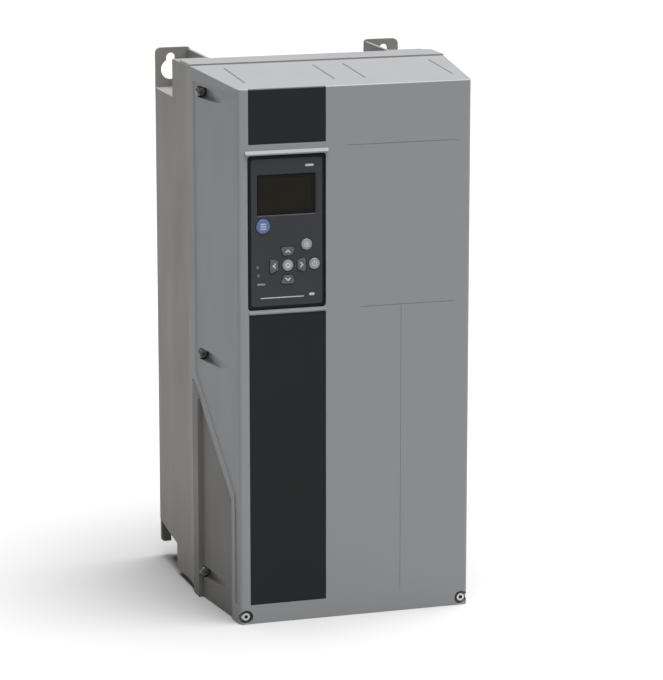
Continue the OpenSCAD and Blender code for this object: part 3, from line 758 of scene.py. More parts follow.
def socket_screw(centre, layout, shank, head, head_r, hex_r, dome):
    """A screw with a round head and a hexagonal socket; the second material fills the socket."""
    base, top = head
    rise = top - base
    body = shank + [(head_r - 0.15, base), (head_r, base + 0.15 * rise)]
    body.append((head_r, base + (0.85 - dome) * rise))
    body += [(head_r * 0.94, base + (1 - 0.45 * dome) * rise), (head_r * 0.8, top), (head_r * 0.55, top)]
    socket = prism(circle(centre, hex_r, 6), (base + 0.45 * rise, top + 1), layout)
    screw = cut(turned(centre, body, layout, 40), [socket])
    for f in screw.faces:
        at = f.calc_center_median() / MM
        depth = WALL / MM - at.y
        along, across = (depth, at.z) if layout == "front" else (at.z, depth)
        near = math.hypot(at.x - centre[0], across - centre[1]) < hex_r * 0.98
        f.material_index = 1 if near and base + 0.4 * rise < along < top - 0.05 else 0
    return screw


def screw_row(places, shank, *settings):
    return join([socket_screw(c, "front", threaded(SHANK_R, shank), *settings) for c in places])


SHANK_R = 2.1
# Each kind: the depths of its shank and of its head, the head's radius, the socket's and the dome's share
SIDE_SCREW = ((112.0, 147.0), (147.0, 151.0), 4.5, 2.0, 0.5)
CORNER_SCREW = ((204.0, 236.0), (236.0, 240.4), 4.2, 1.9, 0.35)
HEADS = ["screw_steel", "socket_shadow"]
DARK = ["dark_steel"]
side_set = screw_row(SIDE_SCREWS, *SIDE_SCREW)
piece(side_set, "side_screw_set", "cover", "screw_steel", ["side_screws"], DARK, 30)
corner_set = screw_row(CORNER_SCREWS, *CORNER_SCREW)
piece(corner_set, "corner_screw_set", "cover", "screw_steel", ["corner_screws"], HEADS, 30)
frame_set = screw_row(FRAME_SCREWS, *SIDE_SCREW)
piece(frame_set, "frame_screw_set", "chassis", "screw_steel", ["frame_screws"], DARK, 30)


# ---- Keypad ----

# What the CAD holds is read from it, so that the two can't differ
HOUSING_D = spans("keypad_housing")[1]
FACE_D, FACE_SIZE = spans("keypad_faceplate")[1], face_size("keypad_faceplate")
SCREEN, SCREEN_SIZE = middle("display_window"), face_size("display_window")
SCREEN_D = spans("display_window")[1]
MENU, INFO, OK, POWER = [middle(name + "_button") for name in ("menu", "info", "ok", "power")]
MENU_R, KEY_R = 6.5, 5.0
# How far from the round key the arrow keys start and end
ARROW_IN, ARROW_OUT = 8.7, 16.7
LAMPS = [(-90.4, 326.8), (-89.6, 319.4)]
LAMP_BAR = (-87.0, 311.2)
CAP_LOW, CAP_TOP = spans("menu_button")[1]
# A key's collar, wider than its cap, holds it behind the face
COLLAR_LOW, COLLAR_TOP = 236.0, 238.0
KEY_GAP = 0.4
LAMP_R, LAMP_LOW = 1.5, 227.6


def turn_point(point, angle, centre):
    a = math.radians(angle)
    u, v = point
    return (centre[0] + u * math.cos(a) - v * math.sin(a), centre[1] + u * math.sin(a) + v * math.cos(a))


def wedge(angle, margin):
    """Outline of an arrow key, which widens away from the round key."""
    half_in, half_out = 4.0 + margin, 6.5 + margin
    low, high = ARROW_IN - margin, ARROW_OUT + margin
    points = [(-half_in, low), (half_in, low), (half_out, high - 1.8), (half_out - 1.4, high)]
    points += [(1.4 - half_out, high), (-half_out, high - 1.8)]
    r = max(0.25, 0.7 + margin)
    return [turn_point(p, angle, OK) for p in rounded(points, [r, r, r, r, r, r], 3)]


def keypad_housing():
    steps = [(0.0, 1.2), (0.35, 0.35), (1.2, 0.0)]
    rear, near = HOUSING_D
    rings = [(keypad_outline(-inset, 2.6 - 0.5 * inset), rear + rise) for rise, inset in steps]
    rings += [(keypad_outline(-inset, 2.6 - 0.5 * inset), near - rise) for rise, inset in reversed(steps)]
    shell = loft(rings, "front")
    hollow = prism(keypad_outline(-4.0, 2.0), (rear + 2.0, near + 1), "front")
    opening = centred(KEYPAD, (FACE_SIZE[0] + 0.6, FACE_SIZE[1] + 0.6), 2.8, 8)
    seat = prism(opening, (FACE_D[0], near + 1), "front")
    shell = cut(shell, [hollow, seat])
    posts = [
        turned((KEYPAD[0] + x, KEYPAD[1] + z), [(3.0, rear + 1), (3.0, 226.0)], "front", 24)
        for x in (-26, 26)
        for z in (-58, 58)
    ]
    grips = [
        slab(sorted((KEYPAD[0] + side * 35.4, KEYPAD[0] + side * 34.0)), (218.0, 232.0), (z, z + 1.2))
        for side in SIDES
        for z in range(345, 372, 3)
    ]
    return soften(fuse(shell, posts), 0.3, 2, lambda e: e.calc_length() > 0.002), grips


def face_openings():
    """Cutters for every opening in the keypad's face."""
    span = (FACE_D[0] - 1, FACE_D[1] + 1)
    size = (SCREEN_SIZE[0] + 0.4, SCREEN_SIZE[1] + 0.4)
    made = [prism(centred(SCREEN, size, 0.8, 4), span, "front")]
    bevel = [
        (centred(SCREEN, (size[0] + 2 * g, size[1] + 2 * g), 0.8 + g, 4), w)
        for g, w in ((0.0, FACE_D[1] - 0.6), (0.9, FACE_D[1] + 0.02), (0.9, FACE_D[1] + 1))
    ]
    made.append(loft(bevel, "front"))
    made.append(prism(circle(MENU, MENU_R + KEY_GAP, 40), span, "front"))
    made += [prism(circle(c, KEY_R + KEY_GAP, 36), span, "front") for c in (INFO, OK, POWER)]
    made += [prism(wedge(angle, KEY_GAP), span, "front") for angle in (0, 90, 180, 270)]
    made += [prism(circle(c, LAMP_R + 0.2, 24), span, "front") for c in LAMPS]
    made.append(prism(centred(LAMP_BAR, (8.4, 2.4), 1.0, 3), span, "front"))
    return made


def face_plate():
    rear, near = FACE_D
    rings = [(centred(KEYPAD, FACE_SIZE, 2.6, 8), rear), (centred(KEYPAD, FACE_SIZE, 2.6, 8), near - 0.3)]
    rings.append((centred(KEYPAD, (FACE_SIZE[0] - 0.5, FACE_SIZE[1] - 0.5), 2.4, 8), near))
    plate = cut(loft(rings, "front"), face_openings())
    return soften(plate, 0.18, 2, lambda e: min(v.co.y for v in e.verts) < WALL - (near - 0.05) * MM)


shell, grips = keypad_housing()
piece(shell, "keypad_shell", "keypad", "keypad_shell", ["keypad_housing"])
piece(join(grips), "keypad_grips", "keypad", "keypad_shell")
piece(face_plate(), "keypad_face", "keypad", "keypad_face", ["keypad_faceplate"])


def display_glass():
    """A tinted window, with the darker edge that its printed border leaves."""
    rear, near = SCREEN_D
    size = SCREEN_SIZE
    rings = [(centred(SCREEN, size, 0.6, 4), rear), (centred(SCREEN, size, 0.6, 4), near - 0.3)]
    rings.append((centred(SCREEN, (size[0] - 0.6, size[1] - 0.6), 0.5, 4), near))
    border = loft(rings, "front")
    clear = centred((SCREEN[0] - 0.8, SCREEN[1] + 0.2), (47.0, 29.5), 0.5, 3)
    view = prism(clear, (near, near + 0.03), "front")
    return join([(border, 0), (view, 1)])


GLASS = ["screen_border", "screen_glass"]
piece(display_glass(), "display_glass", "keypad", "screen_glass", ["display_window"], GLASS)


def mark_bar(centre, size, w):
    return prism(centred(centre, size, min(size) * 0.45, 3), w, "front")


def mark_ring(centre, radii, w, start=0.0, turn=360.0):
    section = [(radii[0], w[0]), (radii[1], w[0]), (radii[1], w[1]), (radii[0], w[1])]
    return swept(centre, section, "front", 28, start, turn)


def round_cap(centre, r):
    profile = [(r * 0.9, CAP_LOW), (r, CAP_LOW + 0.1), (r, COLLAR_LOW), (r + 0.8, COLLAR_LOW)]
    profile += [(r + 0.8, COLLAR_TOP), (r, COLLAR_TOP + 0.1)]
    crown = [(r, 0.65), (r - 0.12, 0.3), (r - 0.4, 0.1), (r - 0.8, 0.04), (r * 0.6, 0.12), (r * 0.3, 0.16)]
    return turned(centre, profile + [(at, CAP_TOP - drop) for at, drop in crown], "front", 48)


ICON = (CAP_TOP - 0.3, CAP_TOP - 0.01)


def wedge_cap(angle):
    steps = [(0.0, CAP_LOW), (0.0, COLLAR_LOW), (0.4, COLLAR_LOW + 0.05), (0.4, COLLAR_TOP)]
    steps += [(0.0, COLLAR_TOP + 0.05), (0.0, CAP_TOP - 0.6), (-0.25, CAP_TOP - 0.2), (-0.6, CAP_TOP - 0.08)]
    return loft([(wedge(angle, margin), depth) for margin, depth in steps], "front")


def chevron(angle):
    reach = (ARROW_IN + ARROW_OUT) / 2 + 0.2
    outline = [(-2.7, -1.3), (0.0, 1.5), (2.7, -1.3), (1.7, -1.9), (0.0, -0.2), (-1.7, -1.9)]
    return prism([turn_point((u, v + reach), angle, OK) for u, v in outline], ICON, "front")


def above(centre, rise):
    return (centre[0], centre[1] + rise)


def build_keys():
    lines = [mark_bar(above(MENU, rise), (5.6, 1.1), ICON) for rise in (-2.2, 0.0, 2.2)]
    spot = [mark_ring(INFO, (0.001, 1.1), ICON), mark_ring(INFO, (1.9, 2.5), ICON)]
    switch = [mark_ring(POWER, (1.7, 2.5), ICON, 125.0, 290.0), mark_bar(above(POWER, 1.6), (0.9, 2.8), ICON)]
    rounds = {
        "menu_button": (MENU, MENU_R, "blue_key", lines),
        "info_button": (INFO, KEY_R, "round_key", spot),
        "ok_button": (OK, KEY_R, "round_key", [mark_ring(OK, (1.1, 2.7), ICON)]),
        "power_button": (POWER, KEY_R, "round_key", switch),
    }
    for name, (centre, r, finish, icons) in rounds.items():
        parts = [(round_cap(centre, r), 0)] + [(icon, 1) for icon in icons]
        piece(join(parts), name + "_cap", name, finish, [name], [finish, "printed_mark"])
    for name, angle in {"up_key": 0, "left_key": 90, "down_key": 180, "right_key": 270}.items():
        parts = [(wedge_cap(angle), 0), (chevron(angle), 1)]
        piece(join(parts), name + "_cap", name, "arrow_key", [name], ["arrow_key", "printed_mark"])


build_keys()


def face_marks():
    """Plain strokes where the face is printed: a line and two short bars."""
    w = (FACE_D[1] - 0.1, FACE_D[1] + 0.03)
    bars = [
        mark_bar((KEYPAD[0] - 4.5, 299.0), (40.0, 0.9), w),
        mark_bar((KEYPAD[0] + 21.0, 416.4), (8.0, 2.0), w),
        mark_bar((KEYPAD[0] + 23.0, 300.4), (5.0, 2.4), w),
    ]
    return join(bars)


piece(face_marks(), "keypad_marks", "keypad", "lens_plastic", materials=["printed_mark"])


def lamp_lenses():
    top = FACE_D[1] + 0.25
    dome = [(LAMP_R, LAMP_LOW), (LAMP_R, top - 0.5), (1.3, top - 0.2), (0.8, top)]
    steps = ((0, LAMP_LOW), (0, top - 0.3), (0.6, top))
    bar = [(centred(LAMP_BAR, (8.0 - g, 2.0 - g), 0.8 - g / 2, 3), w) for g, w in steps]
    return join([turned(c, dome, "front", 28) for c in LAMPS] + [loft(bar, "front")])


piece(lamp_lenses(), "lamp_lenses", "keypad", "lens_plastic", ["indicator_lenses"])


# ---- Rear housing and back plate ----

ROOF = 491.0
FLOOR = 6.0
DUCT = (90.0, 93.0)
PLATE_T = 4.0
POCKET_X, POCKET_D, POCKET_ROOF = 98.0, 68.0, (38.0, 30.0)
RECESS_X, RECESS_Z = 86.0, 452.0
SHEET = 3.0
# The posts that the side and frame screws turn into
POST_R, POST_LOW, BORE_R = 3.6, 110.0, 2.3
FAN_X, FAN_DEPTH, FAN_HOLE = 45.0, 47.0, 37.5
HOLE_X, KEYHOLE_Z, NECK_Z, FORK_Z = 105.0, 472.5, 483.5, 29.5
KEYHOLE_R, NECK_R = 9.5, 4.5
# Half width of the side wall at each depth: it swells over the fins and at the seam
CROWN = [
    (6.0, 120.7), (20.0, 120.9), (34.0, 121.0), (48.0, 121.0), (62.0, 120.8), (76.0, 120.4),
    (92.0, 120.0), (110.0, 119.7), (120.0, 119.9), (124.0, 120.8), (130.0, 121.0),
]


def housing_half():
    """The right-hand side wall, its two pockets, rim and screw posts."""
    outline = [(118.0, REAR), (118.0, PLATE_T), (119.9, PLATE_T), (120.5, PLATE_T + 0.6)]
    wall = prism(outline + [(x, depth) for depth, x in CROWN], (FLOOR, ROOF), "plan")
    under = [(PLATE_T - 1, POCKET_ROOF[0]), (POCKET_D, POCKET_ROOF[1])]
    under += [(POCKET_D, FLOOR - 1), (PLATE_T - 1, FLOOR - 1)]
    wall = cut(wall, [
        slab((110.0, 125.0), (PLATE_T - 1, POCKET_D), (RECESS_Z + 4.0, ROOF + 1)),
        prism(under, (110.0, 125.0), "side"),
    ])
    shelf = [(PLATE_T, POCKET_ROOF[0]), (POCKET_D, POCKET_ROOF[1]), (POCKET_D + SHEET, POCKET_ROOF[1])]
    shelf += [(POCKET_D + SHEET, POCKET_ROOF[1] + SHEET), (PLATE_T, POCKET_ROOF[0] + SHEET)]
    out = 119.5
    parts = [
        slab((RECESS_X, out), (PLATE_T, POCKET_D + SHEET), (RECESS_Z + 1, RECESS_Z + 4)),
        slab((RECESS_X, out), (POCKET_D, POCKET_D + SHEET), (RECESS_Z + 1, ROOF)),
        slab((RECESS_X, RECESS_X + SHEET), (PLATE_T, DUCT[1]), (RECESS_Z - SHEET, ROOF)),
        slab((POCKET_X, POCKET_X + SHEET), (PLATE_T, POCKET_D + SHEET), (FLOOR, POCKET_ROOF[0] + 1)),
        slab((POCKET_X, out), (POCKET_D, POCKET_D + SHEET), (FLOOR, POCKET_ROOF[1])),
        prism(shelf, (POCKET_X, out), "side"),
        slab((106.0, 120.5), (126.0, REAR), (FLOOR, ROOF)),
        slab((RECESS_X, out), (POCKET_D, REAR), (ROOF - SHEET, ROOF)),
        slab((POCKET_X, out), (POCKET_D, REAR), (FLOOR, FLOOR + SHEET)),
    ]
    screws = [c for c in SIDE_SCREWS + FRAME_SCREWS if c[0] > 0]
    parts += [turned(c, [(POST_R, POST_LOW), (POST_R, REAR)], "front", 32) for c in screws]
    bores = [turned(c, [(BORE_R, POST_LOW - 1), (BORE_R, REAR + 1)], "front", 24) for c in screws]
    return cut(fuse(wall, parts), bores)


def rear_housing():
    right = housing_half()
    left = mirrored(right)
    span = (-118.5, 118.5)
    parts = [
        left,
        slab(span, (DUCT[1] - 1, REAR), (ROOF - SHEET, ROOF)),
        slab(span, DUCT, (FLOOR, ROOF)),
        slab((-RECESS_X - SHEET, RECESS_X + SHEET), (PLATE_T, DUCT[1]), (RECESS_Z - SHEET, RECESS_Z)),
        slab((-POCKET_X - SHEET, POCKET_X + SHEET), (PLATE_T, REAR), (FLOOR, FLOOR + SHEET)),
        slab(span, (126.0, REAR), (ROOF - 13.0, ROOF)),
    ]
    form = fuse(right, parts)
    cutters = [
        slab((-100.0, 100.0), (DUCT[0] - 1, DUCT[1] + 1), (60.0, 404.0)),
        slab((-84.0, 84.0), (12.0, 88.0), (FLOOR - 1, FLOOR + SHEET + 1)),
    ]
    through = (RECESS_Z - 4, RECESS_Z + 1)
    cutters += [prism(circle((side * FAN_X, FAN_DEPTH), FAN_HOLE, 64), through, "plan") for side in SIDES]
    return soften(cut(form, cutters), 0.7, 3, lambda e: e.calc_length() > 0.002, 35)


piece(rear_housing(), "housing_shell", "chassis", "housing_paint", ["rear_housing"])


def back_plate():
    half, ear_in, ear_out, top = HALF_W - 2.0, RECESS_X, 119.4, TOP - 1.0
    right = [(half, 14.0), (half, RECESS_Z - 4.0), (ear_out, RECESS_Z)]
    right += [(ear_out, top), (ear_in, top), (ear_in, RECESS_Z)]
    radii = [3.0, 1.0, 1.0, 5.0, 3.0, 2.0]
    outline = right + [(-x, z) for x, z in reversed(right)]
    plate = prism(rounded(outline, radii + radii[::-1], 6), (0.0, PLATE_T), "front")
    through = (-1.0, PLATE_T + 1)
    cutters = []
    for side in SIDES:
        x = side * HOLE_X
        cutters.append(prism(circle((x, KEYHOLE_Z), KEYHOLE_R, 48), through, "front"))
        for end, slot_z in ((NECK_Z, (KEYHOLE_Z, NECK_Z)), (FORK_Z, (0.0, FORK_Z))):
            cutters.append(prism(circle((x, end), NECK_R, 32), through, "front"))
            cutters.append(slab((x - NECK_R, x + NECK_R), through, slot_z))
    bead = [((14.0, 346.0), -0.4), ((13.4, 345.4), 0.0), ((10.0, 342.0), 0.9)]
    for x in (-66.0, -22.0, 22.0, 66.0):
        cutters.append(loft([(centred((x, 233.0), size, size[0] / 2, 8), w) for size, w in bead], "front"))
    for x, z in RIVETS:
        cutters.append(turned((x, z), [(4.2, -1.0), (4.2, 0.0), (2.6, 1.6)], "front", 32))
    return soften(cut(plate, cutters), 0.45, 2, lambda e: e.calc_length() > 0.001, 50)


RIVETS = [(x, z) for x in (-108.0, 108.0) for z in (90.0, 190.0, 290.0, 390.0)]
piece(back_plate(), "back_sheet", "chassis", "housing_paint", ["back_plate"])
RIVET = [(2.4, 1.5), (3.9, 0.35), (3.5, 0.1), (2.6, 0.05), (2.4, 0.6), (1.0, 0.7)]
piece(join([turned(c, RIVET, "front", 28) for c in RIVETS]), "back_rivets", "chassis", "screw_steel")


# ---- Fans ----

HUB = (429.0, 446.0)
BLADES = 7


def fan_blade(centre, phase, rows=6, columns=8, thick=0.7):
    """A twisted, cambered blade between the hub and its tip."""
    faces = []
    bm = bmesh.new()
    for lift in (-thick, thick):
        grid = []
        for i in range(rows + 1):
            f = i / rows
            r = 16.0 + 20.0 * f
            line = []
            for j in range(columns + 1):
                u = j / columns - 0.5
                a = phase + u * (0.62 - 0.1 * f) + 0.25 * f * f
                rim = 1.0 - (2 * u) ** 4
                z = (HUB[0] + HUB[1]) / 2 + u * (13.5 - 1.5 * f) + 1.6 * (1 - 4 * u * u)
                z += lift * (0.25 + 0.75 * rim)
                line.append(bm.verts.new(place(centre[0] + r * math.cos(a), centre[1] + r * math.sin(a), z)))
            grid.append(line)
        faces.append(grid)
    low, high = faces
    for grid in faces:
        for i in range(rows):
            for j in range(columns):
                bm.faces.new((grid[i][j], grid[i + 1][j], grid[i + 1][j + 1], grid[i][j + 1]))
    edge = [(0, j) for j in range(columns)] + [(i, columns) for i in range(rows)]
    edge += [(rows, j) for j in range(columns, 0, -1)] + [(i, 0) for i in range(rows, 0, -1)]
    for (i, j), (k, m) in zip(edge, edge[1:] + edge[:1]):
        bm.faces.new((low[i][j], low[k][m], high[k][m], high[i][j]))
    bmesh.ops.recalc_face_normals(bm, faces=bm.faces)
    return bm


def fan_rotor(x):
    centre = (x, FAN_DEPTH)
    hub = [(1.5, 424.5), (1.5, HUB[0]), (15.6, HUB[0]), (17.0, HUB[0] + 1.4), (17.0, HUB[1] - 2.2)]
    hub += [(16.4, HUB[1] - 0.8), (15.0, HUB[1]), (9.0, HUB[1]), (8.6, HUB[1] - 0.5), (4.0, HUB[1] - 0.5)]
    parts = [turned(centre, hub, "plan", 48)]
    parts += [fan_blade(centre, 2 * math.pi * i / BLADES) for i in range(BLADES)]
    return join(parts)


def wire_ring(centre, r, thick, level, count=56):
    return swept(centre, circle((r, level), thick, 8), "plan", count)


def fan_grille(x):
    """A welded wire guard: four rings and the four spokes that hold them."""
    level = RECESS_Z + GUARD_WIRE
    parts = [wire_ring((x, FAN_DEPTH), r + GUARD_WIRE, GUARD_WIRE, level) for r in (8, 18, 28, 38)]
    for k in range(4):
        a = math.radians(45 + 90 * k)
        ends = [(x + r * math.cos(a), FAN_DEPTH + r * math.sin(a), level) for r in (8.5, 38.6)]
        parts.append(wire(*ends, GUARD_WIRE))
    return join(parts)


GUARD_WIRE = 0.8
GUARD_SHANK = [(1.6, 449.5), (1.6, RECESS_Z)]
GUARD_SCREW = (GUARD_SHANK, (RECESS_Z, RECESS_Z + 2.2), 3.4, 1.2, 0.5)
GUARD_SCREWS = [(s * FAN_X + i * 33.0, FAN_DEPTH + j * 33.0) for s in SIDES for i in SIDES for j in SIDES]
for side, name in ((-1, "left"), (1, "right")):
    rotor = f"fan_rotor_{name}"
    piece(fan_rotor(side * FAN_X), f"fan_wheel_{name}", rotor, "black_plastic", [rotor])
grilles = join([fan_grille(side * FAN_X) for side in SIDES])
piece(grilles, "wire_guards", "chassis", "sheet_zinc", ["fan_grilles"])
guard_set = join([socket_screw(c, "plan", *GUARD_SCREW) for c in GUARD_SCREWS])
piece(guard_set, "guard_screws", "chassis", "screw_steel", materials=HEADS, angle=30)


# ---- Electronics ----

BOARD_PARTS = [
    "black_plastic", "screw_steel", "film_capacitor", "can_sleeve",
    "aluminium_bare", "choke_core", "terminal_green", "brass",
]
BLACK, STEEL, FILM, SLEEVE, BARE, COPPER, _, GOLD = range(8)


def chip(x, depth, z, size):
    """A black package with a row of legs down each side."""
    w, h, t = size
    case = slab((x - w / 2, x + w / 2), (depth + 0.3, depth + 0.3 + t), (z - h / 2, z + h / 2))
    parts = [(soften(case, 0.2, 1), BLACK)]
    pins = max(2, int(h / 1.8))
    for side in SIDES:
        for k in range(pins):
            leg = z - h / 2 + (k + 0.5) * h / pins
            span = sorted((x + side * w / 2, x + side * (w / 2 + 0.9)))
            parts.append((slab(span, (depth, depth + 0.5), (leg - 0.3, leg + 0.3)), STEEL))
    return parts


def can(x, depth, z, r, h):
    """A small electrolytic capacitor standing on a board."""
    top = depth + h
    profile = [(r, depth), (r, depth + 0.8), (r - 0.35, depth + 1.3), (r, depth + 1.8)]
    profile += [(r, top - 0.4), (r - 0.4, top)]
    lid = [(r - 0.5, top - 0.05), (r - 0.6, top + 0.02)]
    return [(turned((x, z), profile, "front", 20), SLEEVE), (turned((x, z), lid, "front", 20), BARE)]


def block(x, depth, z, size, finish):
    w, h, t = size
    body = soften(slab((x - w / 2, x + w / 2), (depth, depth + t), (z - h / 2, z + h / 2)), 0.4, 2)
    return [(body, finish)]


def coil(x, depth, z, r, h):
    rings = [(circle((x, z), r - 0.35 * (k % 2), 20), depth + h * k / 8) for k in range(9)]
    core = turned((x, z), [(r * 0.5, depth), (r * 0.5, depth + h + 0.4)], "front", 16)
    return [(loft(rings, "front"), COPPER), (core, BLACK)]


def populate(seed, x_span, z_span, depth, step, tallest, blocked):
    """Parts over a board on a grid, leaving out the cells that something else takes."""
    rng = random.Random(seed)
    parts = []
    columns = int((x_span[1] - x_span[0]) / step)
    rows = int((z_span[1] - z_span[0]) / step)
    for i in range(columns):
        for j in range(rows):
            x = x_span[0] + (i + 0.5) * step + rng.uniform(-0.08, 0.08) * step
            z = z_span[0] + (j + 0.5) * step + rng.uniform(-0.08, 0.08) * step
            kind = rng.random()
            size = rng.uniform(0.5, 0.8) * step
            tall = tallest * rng.uniform(0.5, 1.0)
            half = step / 2
            if any(a - half < x < b + half and c - half < z < d + half for a, b, c, d in blocked):
                continue
            if kind < 0.34:
                parts += chip(x, depth, z, (size * 0.6, size, 1.6))
            elif kind < 0.5:
                parts += can(x, depth, z, size * 0.42, tall)
            elif kind < 0.6:
                parts += block(x, depth, z, (size, size * 0.45, tall * 0.7), FILM)
            elif kind < 0.68:
                parts += coil(x, depth, z, size * 0.42, tall * 0.6)
            elif kind < 0.76:
                parts += block(x, depth, z, (size * 0.8, size * 0.8, tall * 0.8), BLACK)
            else:
                for k in range(4):
                    finish = (FILM, BLACK, GOLD)[k % 3]
                    parts += block(x + (k - 1.5) * step * 0.2, depth, z, (1.2, 2.4, 0.7), finish)
    return parts


CONTROL_FACE = spans("control_board")[1][1]
POWER_FACE = spans("power_board")[1][1]
# The capacitors' places, and what else stands on each board: from x to x, and from z to z
CAN_PLACES = [(x, z) for x in (-51, -17, 17, 51) for z in (384, 420)]
on_control = [(-16, -8, 280, 288), (-16, -8, 422, 430), (96, 104, 280, 288), (96, 104, 422, 430)]
on_control.append((-20, 110, 250, 279))
on_power = [(x - 4, x + 4, z - 4, z + 4) for x in (-103, 103) for z in (246, 341, 436)]
on_power += [(x - 17, x + 17, z - 17, z + 17) for x, z in CAN_PLACES]
control_parts = populate(7, (-14, 102), (280, 428), CONTROL_FACE, 11.5, 9.0, on_control)
piece(join(control_parts), "control_parts", "chassis", "black_plastic", materials=BOARD_PARTS)
power_parts = populate(11, (-98, 98), (242, 442), POWER_FACE, 18.0, 22.0, on_power)
piece(join(power_parts), "power_parts", "chassis", "black_plastic", materials=BOARD_PARTS)


def big_capacitor(x, z):
    """A can with a crimped sleeve, a bare lid and a vent cross pressed into it."""
    r, low, top = 15.5, POWER_FACE, spans("dc_capacitors")[1][1]
    body = [(r, low), (r, low + 3), (r - 0.7, low + 4), (r, low + 5), (r, top - 1.6)]
    body += [(r - 0.4, top - 0.5), (r - 1.4, top - 0.1), (r - 2.0, top - 0.4)]
    sleeve = turned((x, z), body, "front", 40)
    lid = turned((x, z), [(r - 2.1, top - 1.0), (r - 2.1, top - 0.3), (r - 2.4, top - 0.2)], "front", 40)
    vents = [slab((x - a, x + a), (top - 0.7, top + 1), (z - b, z + b)) for a, b in ((9.0, 0.35), (0.35, 9.0))]
    return [(sleeve, SLEEVE), (cut(lid, vents), BARE)]


cans = [part for x, z in CAN_PLACES for part in big_capacitor(x, z)]
piece(join(cans), "capacitor_bank", "chassis", "can_sleeve", ["dc_capacitors"], BOARD_PARTS)


def big_choke(x):
    """A laminated core with a ribbed winding round it."""
    low = DUCT[1]
    core = prism(rect((x - 19, x + 19), (low, low + 48), 1.0, 2), (146.0, 220.0), "plan")
    turns = 20
    rings = []
    for k in range(turns * 2 + 1):
        inset = 0.0 if k % 2 else 0.7
        outline = rect((x - 21 + inset, x + 21 - inset), (low + 6 + inset, low + 42 - inset), 6.0, 3)
        rings.append((outline, 158.0 + 50.0 * k / (turns * 2)))
    return [(core, STEEL), (loft(rings, "plan"), COPPER)]


chokes = [part for x in (-80, -34) for part in big_choke(x)]
piece(join(chokes), "choke_pair", "chassis", "choke_core", ["dc_chokes"], BOARD_PARTS)


def ring_choke(z):
    """A ring core wound with thick wire."""
    x, low, turns = 76.0, 97.6, 26
    make = LAYOUTS["front"]
    bm = bmesh.new()
    rows = []
    stations = turns * 4
    for i in range(stations):
        a = 2 * math.pi * i / stations
        swell = 1.0 - 0.07 * (1 + math.cos(math.pi * i)) / 2
        row = []
        for u, w in rounded([(-5.5, -7.5), (5.5, -7.5), (5.5, 7.5), (-5.5, 7.5)], 2.5, 3):
            r = 12.5 + u * swell
            row.append(bm.verts.new(make(x + r * math.cos(a), z + r * math.sin(a), low + 7.5 + w * swell)))
        rows.append(row)
    for i in range(stations):
        ahead = rows[(i + 1) % stations]
        for j in range(len(rows[i])):
            k = (j + 1) % len(rows[i])
            bm.faces.new((rows[i][j], rows[i][k], ahead[k], ahead[j]))
    bmesh.ops.recalc_face_normals(bm, faces=bm.faces)
    return bm


ring_pair = join([ring_choke(z) for z in (160.0, 204.0)])
piece(ring_pair, "ring_chokes", "chassis", "choke_core", ["filter_chokes"])


def slotted_screw(x, z, head_r, low, top):
    body = turned((x, z), [(head_r, low), (head_r, top - 0.8), (head_r - 0.6, top)], "front", 24)
    arms = ((head_r * 0.75, 0.4), (0.4, head_r * 0.75))
    return cut(body, [slab((x - a, x + a), (top - 1.6, top + 1), (z - b, z + b)) for a, b in arms])


def pin_row(start, pitch, z, radii, low, count):
    """The small screws along a row of control terminals, the first half a pitch from start."""
    wide, narrow = radii
    section = [(wide, low), (wide, low + 1.0), (narrow, low + 1.2)]
    return [turned((start + (i + 0.5) * pitch, z), section, "front", 16) for i in range(count)]


POLES = [side * x for side in SIDES for x in (-88.0, -62.0, -36.0)]
pole_screws = [slotted_screw(x, 94.0, 3.3, 118.0, 124.0) for x in POLES]
piece(join(pole_screws), "pole_screws", "chassis", "screw_steel", ["terminal_screws"])
CLAMPS = [x + side * 10.5 for x in (-64, -18, 28, 70) for side in SIDES]
clamp_screws = [slotted_screw(x, 35.0, 2.6, 122.0, 124.4) for x in CLAMPS]
piece(join(clamp_screws), "clamp_screws", "chassis", "screw_steel")
pins = pin_row(-14, 7, 268.0, (1.4, 1.0), 184.6, 12) + pin_row(74, 9, 270.0, (1.7, 1.2), 186.6, 3)
piece(join(pins), "control_pins", "chassis", "screw_steel")


# ---- Floor, lights and camera ----


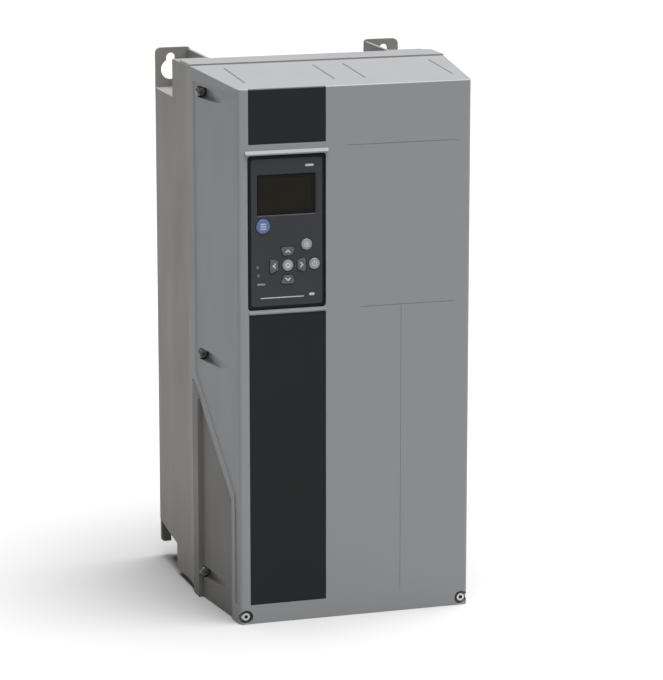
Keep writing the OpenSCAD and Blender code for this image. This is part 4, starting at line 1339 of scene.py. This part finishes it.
def make_floor():
    bm = bmesh.new()
    reach = 30.0
    corners = ((-reach, -reach), (reach, -reach), (reach, reach), (-reach, reach))
    bm.faces.new([bm.verts.new((x, y, -0.0002)) for x, y in corners])
    mesh = bpy.data.meshes.new("floor")
    bm.to_mesh(mesh)
    bm.free()
    floor = bpy.data.objects.new("floor", mesh)
    bpy.context.scene.collection.objects.link(floor)
    g = Graph("floor_paper")
    g.link(g.mix(g.noise(2.0), (0.38, 0.38, 0.38, 1), (0.4, 0.4, 0.4, 1)), g.shader.inputs["Base Color"])
    g.shader.inputs["Roughness"].default_value = 1.0
    g.shader.inputs["Specular IOR Level"].default_value = 0.0
    mesh.materials.append(g.material)


def sun(name, source, strength, spread):
    """A distant lamp whose light comes from the direction of source."""
    data = bpy.data.lights.new(name, "SUN")
    data.energy = strength
    data.angle = math.radians(spread)
    lamp = bpy.data.objects.new(name, data)
    lamp.rotation_mode = "QUATERNION"
    lamp.rotation_quaternion = Vector(source).to_track_quat("Z", "Y")
    bpy.context.scene.collection.objects.link(lamp)


def studio_world(light, backdrop):
    """Even light from all round, in front of a plain white backdrop."""
    world = bpy.data.worlds.new("studio")
    world.use_nodes = True
    tree = world.node_tree
    dim = tree.nodes["Background"]
    dim.inputs["Color"].default_value = (1.0, 1.0, 1.0, 1.0)
    dim.inputs["Strength"].default_value = light
    bright = tree.nodes.new("ShaderNodeBackground")
    bright.inputs["Color"].default_value = (1.0, 1.0, 1.0, 1.0)
    bright.inputs["Strength"].default_value = backdrop
    path = tree.nodes.new("ShaderNodeLightPath")
    mix = tree.nodes.new("ShaderNodeMixShader")
    tree.links.new(path.outputs["Is Camera Ray"], mix.inputs[0])
    tree.links.new(dim.outputs[0], mix.inputs[1])
    tree.links.new(bright.outputs[0], mix.inputs[2])
    tree.links.new(mix.outputs[0], tree.nodes["World Output"].inputs["Surface"])
    bpy.context.scene.world = world


make_floor()
sun("overhead", (0.2, -0.1, 1.0), 8.7, 60.0)
sun("front_fill", (0.3, -1.0, 0.5), 0.32, 60.0)
studio_world(0.17, 1.0)
bpy.context.scene.view_settings.view_transform = "Standard"

camera_data = bpy.data.cameras.new("camera")
camera_data.lens = 174.5
camera_data.sensor_width = 36.0
camera_data.clip_end = 100.0
camera = bpy.data.objects.new("camera", camera_data)
camera.location = (-0.886, -2.856, 0.896)
camera.rotation_euler = (math.radians(90 - 12.55), 0.0, math.radians(-17.52))
bpy.context.scene.collection.objects.link(camera)
bpy.context.scene.camera = camera
